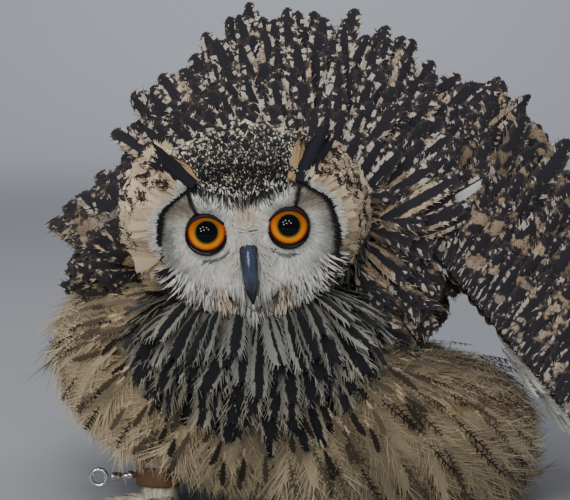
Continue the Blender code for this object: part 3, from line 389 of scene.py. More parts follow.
@dataclass(frozen=True)
class Wing:
    """A wing's bony edge as a path from shoulder to wrist, with the way its feathers lie and its upper side."""

    path: tuple[Place, ...]
    chord_in: Place
    chord_out: Place
    upper: int
    depth: float = 0.050
    height: float = 0.016

    def edge(self, s: Array) -> Array:
        """Points of the leading edge at shares s of its length."""
        path = np.array(self.path)
        ends = np.concatenate([[0], np.cumsum(np.linalg.norm(np.diff(path, axis=0), axis=1))])
        return rows_of(*(np.interp(s, ends / ends[-1], part) for part in path.T))

    def along(self, s: Array) -> Array:
        """The edge's unit direction toward the wrist."""
        return unit(self.edge(np.minimum(1, s + 0.15)) - self.edge(np.maximum(0, s - 0.15)))

    def chord(self, s: Array) -> Array:
        """The unit direction in which the feathers lie."""
        return unit(mixed(s, unit(np.array(self.chord_in)), unit(np.array(self.chord_out))))

    def normal(self, s: Array) -> Array:
        """The unit direction that the upper side faces."""
        return unit(np.cross(self.along(s), self.chord(s)) * self.upper)

    def point(self, s: Array, c: Array, h: Array) -> Array:
        """The places at share s, c behind the edge and h above it."""
        c, h = (np.broadcast_to(part, np.shape(s))[..., None] for part in (c, h))
        return self.edge(s) + self.chord(s) * c + self.normal(s) * h


LEFT_WING = Wing(((0.100, 0.015, 0.190), (0.121, 0.000, 0.171), (0.207, -0.020, 0.069), (0.248, -0.028, 0.040)),
                 (0.30, 0.90, 0.15), (0.35, 0.90, 0.30), 1)
RIGHT_WING = Wing(((-0.040, 0.012, 0.200), (-0.074, 0.008, 0.188), (-0.101, 0.006, 0.167)),
                  (-0.10, 0.97, -0.06), (-0.10, 0.97, -0.10), -1)

FEET = {"right": (-0.060, -0.026, -1), "left": (0.104, 0.012, 1)}
TOES = {"inner": (-28, 1.0), "middle": (8, 1.08), "outer": (74, 0.95), "hind": (168, 0.72)}
TOE_RADIUS, TOE_LENGTH = 0.0085, 0.040
TALON_LENGTH, TALON_RADIUS = 0.021, 0.0034


# Meshes


@dataclass
class Surface:
    """Points and four-sided faces of a piece, with what its finish reads at each point."""

    points: Array
    faces: Array
    feather: Optional[Array] = None
    bake: Optional[Array] = None
    tint: Optional[Array] = None
    chance: Optional[Array] = None
    mark: Optional[Array] = None
    normal: Optional[Array] = None

    @property
    def triangles(self) -> int:
        """How many triangles its faces make."""
        return len(self.faces) * (self.faces.shape[1] - 2)


def joined(parts: Sequence[Surface]) -> Surface:
    """Several surfaces as one, with what they all carry."""
    starts = np.cumsum([0] + [len(part.points) for part in parts[:-1]])
    layers = {name: np.concatenate([getattr(part, name) for part in parts])
              for name in ("points", "feather", "bake", "tint", "chance", "mark", "normal")
              if all(getattr(part, name) is not None for part in parts)}
    return Surface(faces=np.concatenate([part.faces + start for part, start in zip(parts, starts)]), **layers)


def grid_faces(rows: int, columns: int, closed: bool = False, ring: bool = False) -> Array:
    """Four-sided faces of a grid of points; closed joins the last column to the first, and ring the rows too."""
    a = np.arange(rows if ring else rows - 1)[:, None] * columns + np.arange(columns if closed else columns - 1)
    right = (a % columns + 1) % columns + a // columns * columns
    return np.stack([a, right, right + columns, a + columns], -1).reshape(-1, 4) % (rows * columns)


def repeated(faces: Array, count: int, size: int) -> Array:
    """The same faces for count copies of size points each."""
    return (faces[None] + deep(np.arange(count) * size, 2)).reshape(-1, faces.shape[1])


def tube(centres: Array, across: Array, up: Array, sides: int = 16) -> tuple[Array, Array]:
    """A closed tube: a ring of points at each station, centre + across * cos + up * sin, with both ends filled.

    Args:
        centres: the middle of each station.
        across: its half width, as a vector.
        up: its half height, as a vector.
        sides: how many points a ring has.

    Returns:
        Its points and triangles.
    """
    turn = turns(sides)[None, :, None]
    rings = centres[:, None] + across[:, None] * np.cos(turn) + up[:, None] * np.sin(turn)
    points = np.concatenate([rings.reshape(-1, 3), centres[:1], centres[-1:]])
    quads = grid_faces(len(centres), sides, closed=True)
    k, start = np.arange(sides), (len(centres) - 1) * sides
    after = (k + 1) % sides
    return points, np.concatenate([quads[:, [0, 1, 2]], quads[:, [0, 2, 3]], rows_of(after, k, len(points) - 2),
                                   rows_of(start + k, start + after, len(points) - 1)])


def horn_tube(stations: Array, across: Array, up: Array, sides: int, near: Array) -> Surface:
    """A closed tube whose tint's red tells how far along it a place is.

    Args:
        stations: the middle of each station.
        across: its half width, as a vector.
        up: its half height, as a vector.
        sides: how many points a ring has.
        near: how far along each station is, from 0 to 1.

    Returns:
        The surface.
    """
    points, faces = tube(stations, across, up, sides)
    share = np.concatenate([np.repeat(near, sides), near[:1], near[-1:]])
    return Surface(points, faces, tint=np.repeat(share[:, None], 3, 1), mark=np.zeros(len(points)))


class Workshop:
    """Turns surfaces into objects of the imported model's frame, with one material for each finish."""

    lowest, lowest_spread = 0.0008, 0.002

    def __init__(self) -> None:
        """Finds the shift between the owl's frame and the model's from the places of the two eyes."""
        boxes = [np.array(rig.box(name)) for name in ("eye_left", "eye_right")]
        middle = np.mean([box.mean(0) for box in boxes], 0)
        self.shift = HEAD.points(np.array([[0.0, EYE_DEPTH, 0.0]]))[0] - middle
        self.total = 0
        self.materials: dict[object, bpy.types.Material] = {}

    def place(self, points: Array) -> Array:
        """Points of the owl's frame in the model's."""
        return np.asarray(points) - self.shift

    def add(self, name: str, data: object) -> bpy.types.Object:
        """Puts an object with this data into the scene."""
        obj = bpy.data.objects.new(name, data)
        bpy.context.scene.collection.objects.link(obj)
        return obj

    def make(self, name: str, surface: Surface, finish: object, slot: Slot, stands_for: Sequence[str] = (),
             weld: bool = False) -> None:
        """Makes one object that rides on the body, with every feather kept just above the floor.

        Args:
            name: the object's name.
            surface: its points and faces, in the owl's frame.
            finish: what makes its material.
            slot: the record's slot that the finish belongs to.
            stands_for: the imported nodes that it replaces.
            weld: whether doubled points, as at poles, are merged and its faces turned outward.
        """
        mesh = bpy.data.meshes.new(name)
        count, sides = surface.faces.shape
        if surface.chance is not None:
            least = self.lowest + self.lowest_spread * surface.chance
            surface.points[:, 2] = np.maximum(surface.points[:, 2], least)
        mesh.vertices.add(len(surface.points))
        mesh.vertices.foreach_set("co", self.place(surface.points).astype(np.float32).ravel())
        mesh.loops.add(count * sides)
        mesh.loops.foreach_set("vertex_index", surface.faces.astype(np.int32).ravel())
        mesh.polygons.add(count)
        mesh.polygons.foreach_set("loop_start", np.arange(count, dtype=np.int32) * sides)
        mesh.update(calc_edges=True)
        for label, values in (("feather", surface.feather), ("OFBake", surface.bake)):
            if values is not None:
                layer = mesh.uv_layers.new(name=label)
                layer.data.foreach_set("uv", values[surface.faces.ravel()].astype(np.float32).ravel())
        tint = None if surface.tint is None else np.c_[surface.tint, np.ones(len(surface.tint))]
        for label, values, kind, slot_name in (("tint", tint, "FLOAT_COLOR", "color"),
                                               ("chance", surface.chance, "FLOAT", "value"),
                                               ("mark", surface.mark, "FLOAT", "value"),
                                               ("custom_normal", surface.normal, "FLOAT_VECTOR", "vector")):
            if values is not None:
                layers = mesh.color_attributes if slot_name == "color" else mesh.attributes
                layer = layers.new(name=label, type=kind, domain="POINT")
                layer.data.foreach_set(slot_name, values.astype(np.float32).ravel())
        mesh.polygons.foreach_set("use_smooth", np.ones(count, dtype=bool))
        if finish not in self.materials:
            self.materials[finish] = finish.material()
        mesh.materials.append(self.materials[finish])
        if weld:
            work = bmesh.new()
            work.from_mesh(mesh)
            bmesh.ops.remove_doubles(work, verts=work.verts, dist=1e-6)
            bmesh.ops.recalc_face_normals(work, faces=work.faces)
            work.to_mesh(mesh)
            work.free()
        obj = self.add(name, mesh)
        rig.ride(obj, "root")
        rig.slot(obj, slot.value)
        if stands_for:
            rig.replaces(obj, *stands_for)
        self.total += surface.triangles
        LOG.info("%s: %d triangles", name, surface.triangles)


# Finishes


@dataclass(frozen=True, eq=False)
class Signal:
    """A value in a material's graph. Plain arithmetic on it adds Math nodes."""

    graph: "Graph"
    socket: bpy.types.NodeSocket

    def math(self, operation: str, other: object = 0.0) -> "Signal":
        """One Math node of this value and another."""
        return self.graph.add("ShaderNodeMath", {0: self, 1: other}, operation=operation)

    def __add__(self, other: object) -> "Signal":
        """Their sum."""
        return self.math("ADD", other)

    def __mul__(self, other: object) -> "Signal":
        """Their product."""
        return self.math("MULTIPLY", other)

    def __sub__(self, other: object) -> "Signal":
        """This less the other."""
        return self.math("SUBTRACT", other)

    def without(self) -> "Signal":
        """One less this value."""
        return self.graph.add("ShaderNodeMath", {0: 1.0, 1: self}, operation="SUBTRACT")

    def step(self, low: float, high: float) -> "Signal":
        """A smooth step from 0 at low to 1 at high."""
        inputs = {"Value": self, "From Min": low, "From Max": high}
        return self.graph.add("ShaderNodeMapRange", inputs, interpolation_type="SMOOTHSTEP")


class Graph:
    """The nodes of one material, built up from plain calls."""

    def __init__(self, name: str, roughness: float, specular: float = 0.3, **constants: float) -> None:
        """Starts a Principled material with its constant values on the shader's own sockets."""
        self.material = bpy.data.materials.new(name)
        self.material.use_nodes = True
        self.tree = self.material.node_tree
        self.inputs = self.tree.nodes["Principled BSDF"].inputs
        for label, value in {"Roughness": roughness, "Specular_IOR_Level": specular, **constants}.items():
            self.inputs[label.replace("_", " ")].default_value = value

    def give(self, place: bpy.types.NodeSocket, value: object) -> None:
        """Links a signal to a socket, or sets its value; a colour gets its alpha."""
        if isinstance(value, Signal):
            self.tree.links.new(value.socket, place)
        else:
            place.default_value = (*value, 1.0) if place.type == "RGBA" else value

    def add(self, kind: str, inputs: dict, output: object = 0, **settings: object) -> Signal:
        """One output of a new node with its settings, and its inputs linked or given a value."""
        node = self.tree.nodes.new(kind)
        for label, value in settings.items():
            setattr(node, label, value)
        for label, value in inputs.items():
            self.give(node.inputs[label], value)
        return Signal(self, node.outputs[output])

    def parts(self, vector: Signal) -> list[Signal]:
        """The three parts of a vector."""
        first = self.add("ShaderNodeSeparateXYZ", {0: vector})
        return [Signal(self, socket) for socket in first.socket.node.outputs]

    def blend(self, share: object, first: object, second: object, way: str = "MIX") -> Signal:
        """A colour between two."""
        return self.add("ShaderNodeMix", {0: share, 6: first, 7: second}, 2, data_type="RGBA", blend_type=way)

    def noise(self, vector: Signal, scale: float, detail: float = 2.0) -> Signal:
        """A noise from 0 to 1."""
        return self.add("ShaderNodeTexNoise", {"Vector": vector, "Scale": scale, "Detail": detail})

    def cells(self, vector: Signal, scale: float = 1.0) -> Signal:
        """How far a place is from the middle of its cell."""
        return self.add("ShaderNodeTexVoronoi", {"Vector": vector, "Scale": scale})

    def vector(self, x: object, y: object, z: object) -> Signal:
        """A vector from three values."""
        return self.add("ShaderNodeCombineXYZ", {"X": x, "Y": y, "Z": z})

    def number(self, name: str) -> Signal:
        """A number that the mesh carries."""
        return self.add("ShaderNodeAttribute", {}, "Fac", attribute_name=name)

    def tinted(self) -> Signal:
        """The colour that the mesh carries."""
        return self.add("ShaderNodeAttribute", {}, "Color", attribute_name="tint")

    def objects(self) -> Signal:
        """The place on the model."""
        return self.add("ShaderNodeTexCoord", {}, "Object")

    def stretched(self, scale: Place) -> Signal:
        """The place on the model, scaled along each axis."""
        return self.add("ShaderNodeMapping", {"Vector": self.objects(), "Scale": scale})

    def mapped(self) -> Signal:
        """The place on the piece's own map."""
        return self.add("ShaderNodeUVMap", {}, uv_map="feather")

    def finished(self, colour: object, height: Optional[Signal] = None, distance: float = 0.0,
                 strength: float = 1.0) -> bpy.types.Material:
        """The material, given its colour and a fine relief."""
        self.give(self.inputs["Base Color"], colour)
        if height is not None:
            inputs = {"Height": height, "Distance": distance, "Strength": strength}
            self.give(self.inputs["Normal"], self.add("ShaderNodeBump", inputs))
        return self.material


class VaneGraph(Graph):
    """A feather's graph: side from -1 to 1, across from the shaft to the edge, along from root to tip, the
    feather's own chance and mark, its tint, and a noise vector, place, that differs on each feather."""

    def __init__(self, name: str, roughness: float, sheen: float) -> None:
        """Reads the map and the numbers of the mesh."""
        super().__init__(name, roughness, 0.18, Sheen_Weight=sheen, Sheen_Roughness=0.5)
        x, self.along, _ = self.parts(self.mapped())
        self.side = x * 2.0 - 1.0
        self.across = self.side.math("ABSOLUTE")
        self.chance, self.mark, self.tint = self.number("chance"), self.number("mark"), self.tinted()
        self.place = self.vector(self.chance * 37.0 + self.side, self.along * 3.0 + self.chance, self.chance * 91.0)


@dataclass(frozen=True)
class FeatherFinish:
    """What every feather's finish shares: matt barbs whose colour changes across and along the vane."""

    name: str
    roughness: float = 0.78
    barbs: float = 0.35
    lines: float = 210.0
    slant: float = 40.0
    sheen: float = 0.08
    relief: float = 0.0004

    def paint(self, g: VaneGraph) -> Signal:
        """The colour: the tint itself."""
        return g.tint

    def material(self) -> bpy.types.Material:
        """The finished material: the painted colour, with the barbs as fine lines in colour and relief."""
        g = VaneGraph(self.name, self.roughness, self.sheen)
        colour = self.paint(g)
        fibre = (g.along * self.lines + g.across * -self.slant).math("SINE")
        shade = fibre * (0.16 * self.barbs) + (1 - 0.10 * self.barbs)
        return g.finished(g.blend(1.0, colour, g.vector(shade, shade, shade), "MULTIPLY"), fibre, self.relief,
                          self.barbs)


@dataclass(frozen=True)
class SpottedFinish(FeatherFinish):
    """Back and covert feathers: a slate-black middle, edges freckled with cream and, on some, buff webs.

    The mark is the feather's length in tenths of a metre, so that freckles keep their real size.
    """

    dark: Colour = (0.020, 0.018, 0.022)
    brown: Colour = (0.060, 0.0468, 0.044)
    pale: Colour = (0.45, 0.42, 0.375)
    outer: Colour = (0.58, 0.58, 0.55)
    middle: float = 0.40
    pitch: float = 5.4
    webs: float = 0.42
    web_from: float = 17.0
    swept: float = 8.5
    across_cells: float = 9.0
    broken: float = 0.6
    blotched: float = 0.0
    spot: float = 0.36

    def paint(self, g: VaneGraph) -> Signal:
        """Freckles are the cells of a Voronoi pattern in millimetres, kept off the middle; webs lie further in.

        The way in from the tip counts the forward sweep of the barbs, so that freckles come out round. A feather
        whose chance is one keeps a long pale outer web.
        """
        wobble = g.noise(g.place, 2.6, 3.0) - 0.5
        across = wobble * 0.50 + g.across
        rest = g.along.without() * (g.mark * 100.0) + g.across * -self.swept
        has_web = (g.chance * 13.7).math("FRACT").step(1 - self.webs, 1.04 - self.webs)
        past_middle = across.step(self.middle - 0.04, self.middle + 0.14)
        web = past_middle * (wobble * 8.0 + rest).step(self.web_from, self.web_from + 7)
        cells = g.vector(g.side * (self.across_cells / self.pitch), rest * (1 / self.pitch), g.chance * 53.0)
        grain = g.noise(cells, 3.4, 2.0)
        whole = g.noise(cells, 0.55, 1.0).step(0.42, 0.55) * self.broken + (1 - self.broken)
        web = web * (has_web * whole)
        if self.blotched:
            patch = g.noise(g.objects(), 76.0, 2.5).step(0.55, 0.62) * (wobble * 4.0 + rest).step(0.5, 3.0)
            web = (patch - web) * self.blotched + web
        webbed = g.blend(grain.step(0.55, 0.66) * 0.75, g.tint, self.dark)
        far = g.cells(cells) + (grain - 0.5) * 0.55 + g.noise(cells, 0.55, 0.0) * -0.55 + 0.275
        near = rest.step(1.2, 2.6) * across.step(self.middle, self.middle + 0.08)
        freckle = far.step(self.spot, self.spot + 0.08).without() * near
        speckled = g.blend(g.noise(cells, 0.8, 1.0).step(0.40, 0.60) * 0.65, self.pale, g.tint)
        brown = g.blend(across.step(0.45, 1.0), self.dark, self.brown)
        colour = g.blend(web, g.blend(freckle, brown, speckled), webbed)
        lucky = g.chance.math("GREATER_THAN", 0.995) * rest.step(1.0, 4.0)
        return g.blend(g.side.step(-0.25, -0.10) * lucky, colour, self.outer)


@dataclass(frozen=True)
class StreakedFinish(FeatherFinish):
    """Bib feathers: pale webs and one bold black streak down the shaft."""

    dark: Colour = (0.008, 0.008, 0.010)

    def paint(self, g: VaneGraph) -> Signal:
        """The streak is as wide as the mark says and has ragged edges; the webs are the tint."""
        ragged = g.noise(g.place, 4.5, 4.0) * 0.56 - 0.28
        swell = g.along.step(0.80, 1.0) * 0.5 + g.mark * (g.along * 0.5 + 0.7)
        streak = (g.across + ragged - swell).step(-0.04, 0.05).without() * g.mark.step(0.03, 0.08)
        return g.blend(streak, g.tint, self.dark)


@dataclass(frozen=True)
class PlumeFinish(FeatherFinish):
    """Belly plumes: buff, and dark on the marked ones, which have a shaft and a few short barbs like cross-bars."""

    dark: Colour = (0.012, 0.008, 0.006)

    def paint(self, g: VaneGraph) -> Signal:
        """Dark from a quarter of the way along, fading toward the ends of the barbs."""
        near = (g.across.step(0.60, 1.0) * 0.5).without()
        return g.blend(near * g.along.step(0.16, 0.34) * g.mark, g.tint, self.dark)


@dataclass(frozen=True)
class ScaledFinish(FeatherFinish):
    """Ruff feathers: buff with a dark shaft line and a broken dark border, like scales."""

    dark: Colour = (0.018, 0.013, 0.011)

    def paint(self, g: VaneGraph) -> Signal:
        """The mark says how far the black reaches in from the tip and the edges."""
        ragged = g.noise(g.place, 4.5, 4.0) * 0.9 - 0.45
        reach = g.across.math("POWER", 2.0) * 0.30 + (g.along + ragged)
        tip = (reach + g.mark * 0.5).step(1.02, 1.14)
        shaft = (ragged * 0.3 + g.across).step(0.05, 0.16).without() * g.along.step(0.35, 0.60)
        return g.blend(tip.math("MAXIMUM", shaft * g.mark), g.tint, self.dark)


@dataclass(frozen=True)
class CrownFinish(FeatherFinish):
    """Crown feathers: black, most with a pale fleck on one or both sides of the tip."""

    dark: Colour = (0.009, 0.009, 0.011)

    def paint(self, g: VaneGraph) -> Signal:
        """Flecks of the tint on the outer half, from broken cells; the mark says how large they are."""
        cells = g.vector(g.side * 1.25, g.along * 2.4, g.chance * 61.0)
        grain = g.noise(cells, 3.0, 2.0) - 0.5
        far = grain * 0.6 + g.cells(cells) - g.mark * 0.30
        fleck = far.step(0.20, 0.30).without() * (grain * 0.5 + g.along).step(0.42, 0.52)
        shaft = (grain * 0.4 + g.across).step(0.10, 0.22).math("MAXIMUM", g.mark.step(0.7, 0.9))
        return g.blend(fleck * shaft, self.dark, g.tint)


@dataclass(frozen=True)
class BarredFinish(FeatherFinish):
    """Flight and tail feathers: tawny with broad dark bars, freckled, and a dark shaft."""

    roughness: float = 0.62
    barbs: float = 0.5
    dark: Colour = (0.036, 0.025, 0.018)
    bars: float = 7.0

    def paint(self, g: VaneGraph) -> Signal:
        """Bars slant along the barbs; freckles fill the tint between them toward the tip."""
        wobble = g.noise(g.place, 2.2, 3.0) * 1.1 - 0.55
        around = g.along * self.bars + wobble + g.across * -0.35
        bar = (around * (2 * math.pi)).math("SINE").step(-0.05, 0.25)
        freckle = g.noise(g.place, 16.0, 2.0).step(0.50, 0.60) * (g.along * 0.7 + 0.15)
        shaft = g.across.step(0.02, 0.05).without() * 0.8
        return g.blend(bar.math("MAXIMUM", freckle).math("MAXIMUM", shaft), g.tint, self.dark)


@dataclass(frozen=True)
class HornFinish:
    """Bill and claws: satin horn with fine growth lines, darker toward the tip."""

    name: str
    base: Colour
    tip: Colour
    roughness: float = 0.30
    nostrils_and_shade: Colour = (0.008, 0.008, 0.010)

    def material(self) -> bpy.types.Material:
        """The tint's red holds how near the tip a place is, and the mark darkens the bill's dark nostrils and, as
        painted shade, its sides.
        """
        g = Graph(self.name, self.roughness, 0.5, Coat_Weight=0.35, Coat_Roughness=0.18)
        near = g.add("ShaderNodeSeparateColor", {0: g.tinted()})
        lines = g.noise(g.stretched((420.0, 420.0, 60.0)), 1.0, 4.0)
        colour = g.blend(near.step(0.35, 0.95), self.base, self.tip)
        colour = g.blend(g.number("mark"), colour, self.nostrils_and_shade)
        colour = g.blend(lines.step(0.45, 0.75) * 0.35, colour, tuple(min(1.0, c * 2.6 + 0.02) for c in self.base))
        return g.finished(colour, lines, 0.0003, 0.35)


@dataclass(frozen=True)
class IrisFinish:
    """The eyeball: black pupil, olive inner ring, orange iris with fine rays and painted shade darkening its top, dark
    rim and a wet gloss.
    """

    pupil: Colour = (0.002, 0.002, 0.003)
    inner: Colour = (0.10, 0.085, 0.008)
    orange: Colour = (0.80, 0.23, 0.001)
    ray: Colour = (0.94, 0.36, 0.005)
    shaded: Colour = (0.24, 0.024, 0.001)
    outer: Colour = (0.30, 0.028, 0.001)
    rim: Colour = (0.006, 0.005, 0.006)

    def material(self) -> bpy.types.Material:
        """Reads the map whose middle is the gaze and whose radius is the angle from it, as a share of 90 degrees."""
        g = Graph("owl_eye", 0.55, 0.0, Coat_Weight=1.0, Coat_Roughness=0.012, Coat_IOR=1.25)
        centred = g.add("ShaderNodeVectorMath", {0: g.mapped(), 1: (0.5, 0.5, 0.0)}, operation="SUBTRACT")
        reach = g.add("ShaderNodeVectorMath", {0: centred}, "Value", operation="LENGTH") * 2.0
        x, y, _ = g.parts(centred)
        rays = g.noise(g.vector(y.math("ARCTAN2", x) * 9.0, reach * 5.0, 0.0), 1.6, 4.0)
        # painted shade: the iris darkens toward its top, as under the lid and brow
        height = y.math("DIVIDE", reach.math("MAXIMUM", 0.05)).step(-0.55, 0.45)
        amber = g.blend(rays.step(0.35, 0.75) * 0.55, self.orange, self.ray)
        amber = g.blend(height * 0.92, amber, self.shaded)
        colour = g.blend(reach.step(0.315, 0.375), self.inner, amber)
        for low, high, beyond in ((0.46, 0.545, self.outer), (0.545, 0.575, self.rim)):
            colour = g.blend(reach.step(low, high), colour, beyond)
        return g.finished(g.blend(reach.step(0.285, 0.300), self.pupil, colour))


@dataclass(frozen=True)
class SkinFinish:
    """The skin under the feathers: dull down in the colour of its region."""

    shadow: Colour = (0.02, 0.015, 0.012)

    def material(self) -> bpy.types.Material:
        """The tint with a woolly mottling."""
        g = Graph("down", 0.95, 0.1)
        wool = g.noise(g.objects(), 420.0, 4.0)
        return g.finished(g.blend(wool * 0.5, g.tinted(), self.shadow), wool, 0.0012, 0.8)


@dataclass(frozen=True)
class LidFinish:
    """The bare black rim of the eyelids."""

    dark: Colour = (0.004, 0.004, 0.005)
    light: Colour = (0.014, 0.013, 0.015)

    def material(self) -> bpy.types.Material:
        """Near-black skin with a slight shine and fine wrinkles."""
        g = Graph("eyelid", 0.55, 0.20)
        wrinkles = g.noise(g.objects(), 900.0, 3.0)
        return g.finished(g.blend(wrinkles, self.dark, self.light), wrinkles, 0.0004, 0.5)


@dataclass(frozen=True)
class LeatherFinish:
    """Oiled brown leather, darker and smoother at its edges."""

    dark: Colour = (0.060, 0.030, 0.014)
    light: Colour = (0.150, 0.075, 0.034)
    edge: Colour = (0.022, 0.011, 0.006)

    def material(self) -> bpy.types.Material:
        """Fine cells for the grain over a cloudy colour."""
        g = Graph("anklet_leather", 0.55, 0.4)
        colour = g.blend(g.noise(g.objects(), 140.0, 4.0), self.dark, self.light)
        colour = g.blend(g.number("mark") * 0.8, colour, self.edge)
        return g.finished(colour, g.cells(g.objects(), 1500.0), 0.0003, 0.6)


@dataclass(frozen=True)
class SteelFinish:
    """Polished steel with fine scratches and finger marks."""

    dark: Colour = (0.52, 0.53, 0.55)
    light: Colour = (0.72, 0.73, 0.75)

    def material(self) -> bpy.types.Material:
        """Roughness from a cloudy noise, relief from long thin scratches."""
        g = Graph("swivel_steel", 0.2, 0.5, Metallic=1.0)
        cloud = g.noise(g.objects(), 260.0, 4.0)
        g.give(g.inputs["Roughness"], cloud * 0.22 + 0.08)
        scratches = g.noise(g.stretched((90.0, 2400.0, 2400.0)), 1.0, 2.0)
        return g.finished(g.blend(cloud, self.dark, self.light), scratches, 0.0001, 0.35)


# Feathers


@dataclass
class Roots:
    """Where feathers grow: their places, the way they lie, the way out of the skin and their places on its unwrap."""

    points: Array
    lie: Array
    out: Array
    place: Array

    def __len__(self) -> int:
        """How many there are."""
        return len(self.points)

    def kept(self, mask: Array) -> "Roots":
        """Only some of them."""
        return Roots(self.points[mask], self.lie[mask], self.out[mask], self.place[mask])

    def lifted(self, degrees: Array) -> tuple[Array, Array]:
        """Each feather's direction and the way its upper side faces, once raised from the skin by degrees."""
        rise = np.radians(np.broadcast_to(degrees, (len(self),)))[:, None]
        return self.lie * np.cos(rise) + self.out * np.sin(rise), self.out * np.cos(rise) - self.lie * np.sin(rise)

    def turned(self, lift: Array, turn: Array) -> tuple[Array, Array, Array]:
        """Direction, side and upper side of each feather, raised by lift and turned about its shaft by radians."""
        direction, normal = self.lifted(lift)
        side, turn = np.cross(direction, normal), turn[:, None]
        return (direction, side * np.cos(turn) + normal * np.sin(turn), normal * np.cos(turn) - side * np.sin(turn))

    def tips(self, length: Array, lift: Array, curl: float) -> Array:
        """Where feathers of this length, lift and curl end."""
        way, up = self.lifted(lift)
        return self.points + way * length[:, None] - up * (curl * length)[:, None]


def on_form(form: Ball, count: int, grow: float, lie: Callable[[Array], Array], seed: int,
            keep: Optional[Callable[[Array, Array], Array]] = None, shuffle: float = 0.35) -> Roots:
    """Roots spread evenly over a form.

    Args:
        form: the form that they grow on.
        count: how many there would be all over it.
        grow: how far outside it they start.
        lie: gives directions from points; they are laid flat on the form.
        seed: for the small shifts from the even spread.
        keep: tells which points and normals are used.
        shuffle: the shifts, as a share of the spacing.

    Returns:
        The roots.
    """
    rng = np.random.default_rng(seed)
    directions = even_directions(count)
    directions = unit(directions + rng.normal(size=directions.shape) * shuffle * math.sqrt(4 * math.pi / count))
    points, out = form.at(directions, grow), form.outward(directions, grow)
    roots = Roots(points, square_to(out, lie(points)), out, unwrapped(directions))
    return roots if keep is None else roots.kept(keep(points, out))


def settled(roots: Roots, length: Array, curl: float, form: Ball, depth: float, low: float = -14.0,
            high: float = 40.0) -> Array:
    """The degrees by which feathers are raised so that their tips end at a depth under a form's surface.

    A tip stands at root + length * (direction - curl * normal). Its height over the plane that touches the form
    beside it is a * cos(rise) + b * sin(rise) + the root's own height, which is solved for the rise.

    Args:
        roots: where the feathers grow.
        length: their lengths.
        curl: their curl, as in the cut.
        form: the form that they lie on.
        depth: how far under its surface the tips end.
        low: the least rise.
        high: the greatest rise.

    Returns:
        One rise for each feather.
    """
    places = even_directions(5000)
    surface, outward = form.at(places), form.outward(places)
    ends = roots.points + roots.lie * length[:, None]
    nearest = np.concatenate([((part[:, None] - surface[None]) ** 2).sum(-1).argmin(1)
                              for part in np.array_split(ends, 1 + len(ends) // 200)])
    beside, up = surface[nearest], outward[nearest]
    a = length * ((roots.lie - curl * roots.out) * up).sum(-1)
    b = length * ((roots.out + curl * roots.lie) * up).sum(-1)
    wanted = -depth - ((roots.points - beside) * up).sum(-1)
    rise = np.degrees(np.arcsin(np.clip(wanted / np.hypot(a, b), -1, 1)) - np.arctan2(a, b))
    return np.clip(rise, low, high)


def shades(count: int, root: Colour, tip: Colour, seed: int, spread: float = 0.14) -> Tint:
    """Root and tip colours for feathers, each feather a little lighter or darker than the rest."""
    scale = np.exp(np.random.default_rng(seed).normal(0, spread, (count, 1)))
    return np.array(root) * scale, np.array(tip) * scale


def toward(tint: Tint, share: Array, root: object, tip: object) -> Tint:
    """Root and tip colours moved by a share for each feather toward two others."""
    return tuple(mixed(share, own, np.array(other)) for own, other in zip(tint, (root, tip)))


def read_layers(roots: Roots, across: Array, along: Array, tint: Tint, chance: Array, mark: Array) -> list[Array]:
    """What the finish reads at each point, from arrays whose first axis is the feather.

    Args:
        roots: where the feathers grow.
        across: shares across the vane.
        along: shares along the shaft.
        tint: the colours at root and tip.
        chance: one number for each feather, from 0 to 1.
        mark: another that its finish reads.

    Returns:
        Places on the feather, places on the coat's map, colours, chances and marks.
    """
    shape = across.shape
    more = len(shape) - 1
    feather = np.stack([across, np.broadcast_to(along, shape)], -1)
    bake = deep(roots.place, more) * 0.99 + 0.003 * feather
    hue = mixed(feather[..., 1], deep(tint[0], more), deep(tint[1], more))
    return [feather.reshape(-1, 2), bake.reshape(-1, 2), hue.reshape(-1, 3),
            *(np.broadcast_to(deep(values, more), shape).ravel() for values in (chance, mark))]


@dataclass(frozen=True)
class Cut:
    """What every feather's cut shares. Lengths are shares of the feather's own."""

    outline: Curve = ((0.0, 0.30), (0.30, 0.85), (0.62, 1.0), (0.85, 0.74), (0.95, 0.44), (1.0, 0.12))
    curl: float = 0.12
    bend: float = 0.05
    sunk: float = 0.004

    def lay(self, roots: Roots, length: Array, width: Array, lift: Array, tint: Tint, mark: Array, seed: int,
            sunk: Optional[float] = None, twist: float = 0.0, chance: Optional[Array] = None) -> Surface:
        """Lays one feather at each root.

        Args:
            roots: where they grow.
            length: their lengths.
            width: their widths.
            lift: how far they are raised from the skin, in degrees.
            tint: the colours at root and tip.
            mark: a number for each feather that its finish reads.
            seed: for what differs.
            sunk: how far the root lies under the skin, the cut's own where it is left out.
            twist: how far each is turned about its shaft, in degrees.
            chance: the number that makes each feather's pattern its own, drawn where it is left out.

        Returns:
            One surface with every feather.
        """
        count = len(roots)
        rng = np.random.default_rng(seed)
        length, width, mark = (np.broadcast_to(np.asarray(a, dtype=float), (count,)) for a in (length, width, mark))
        sunk = self.sunk if sunk is None else sunk
        return self.shaped(roots, length, width, lift, tint, mark, rng, sunk, twist, chance)


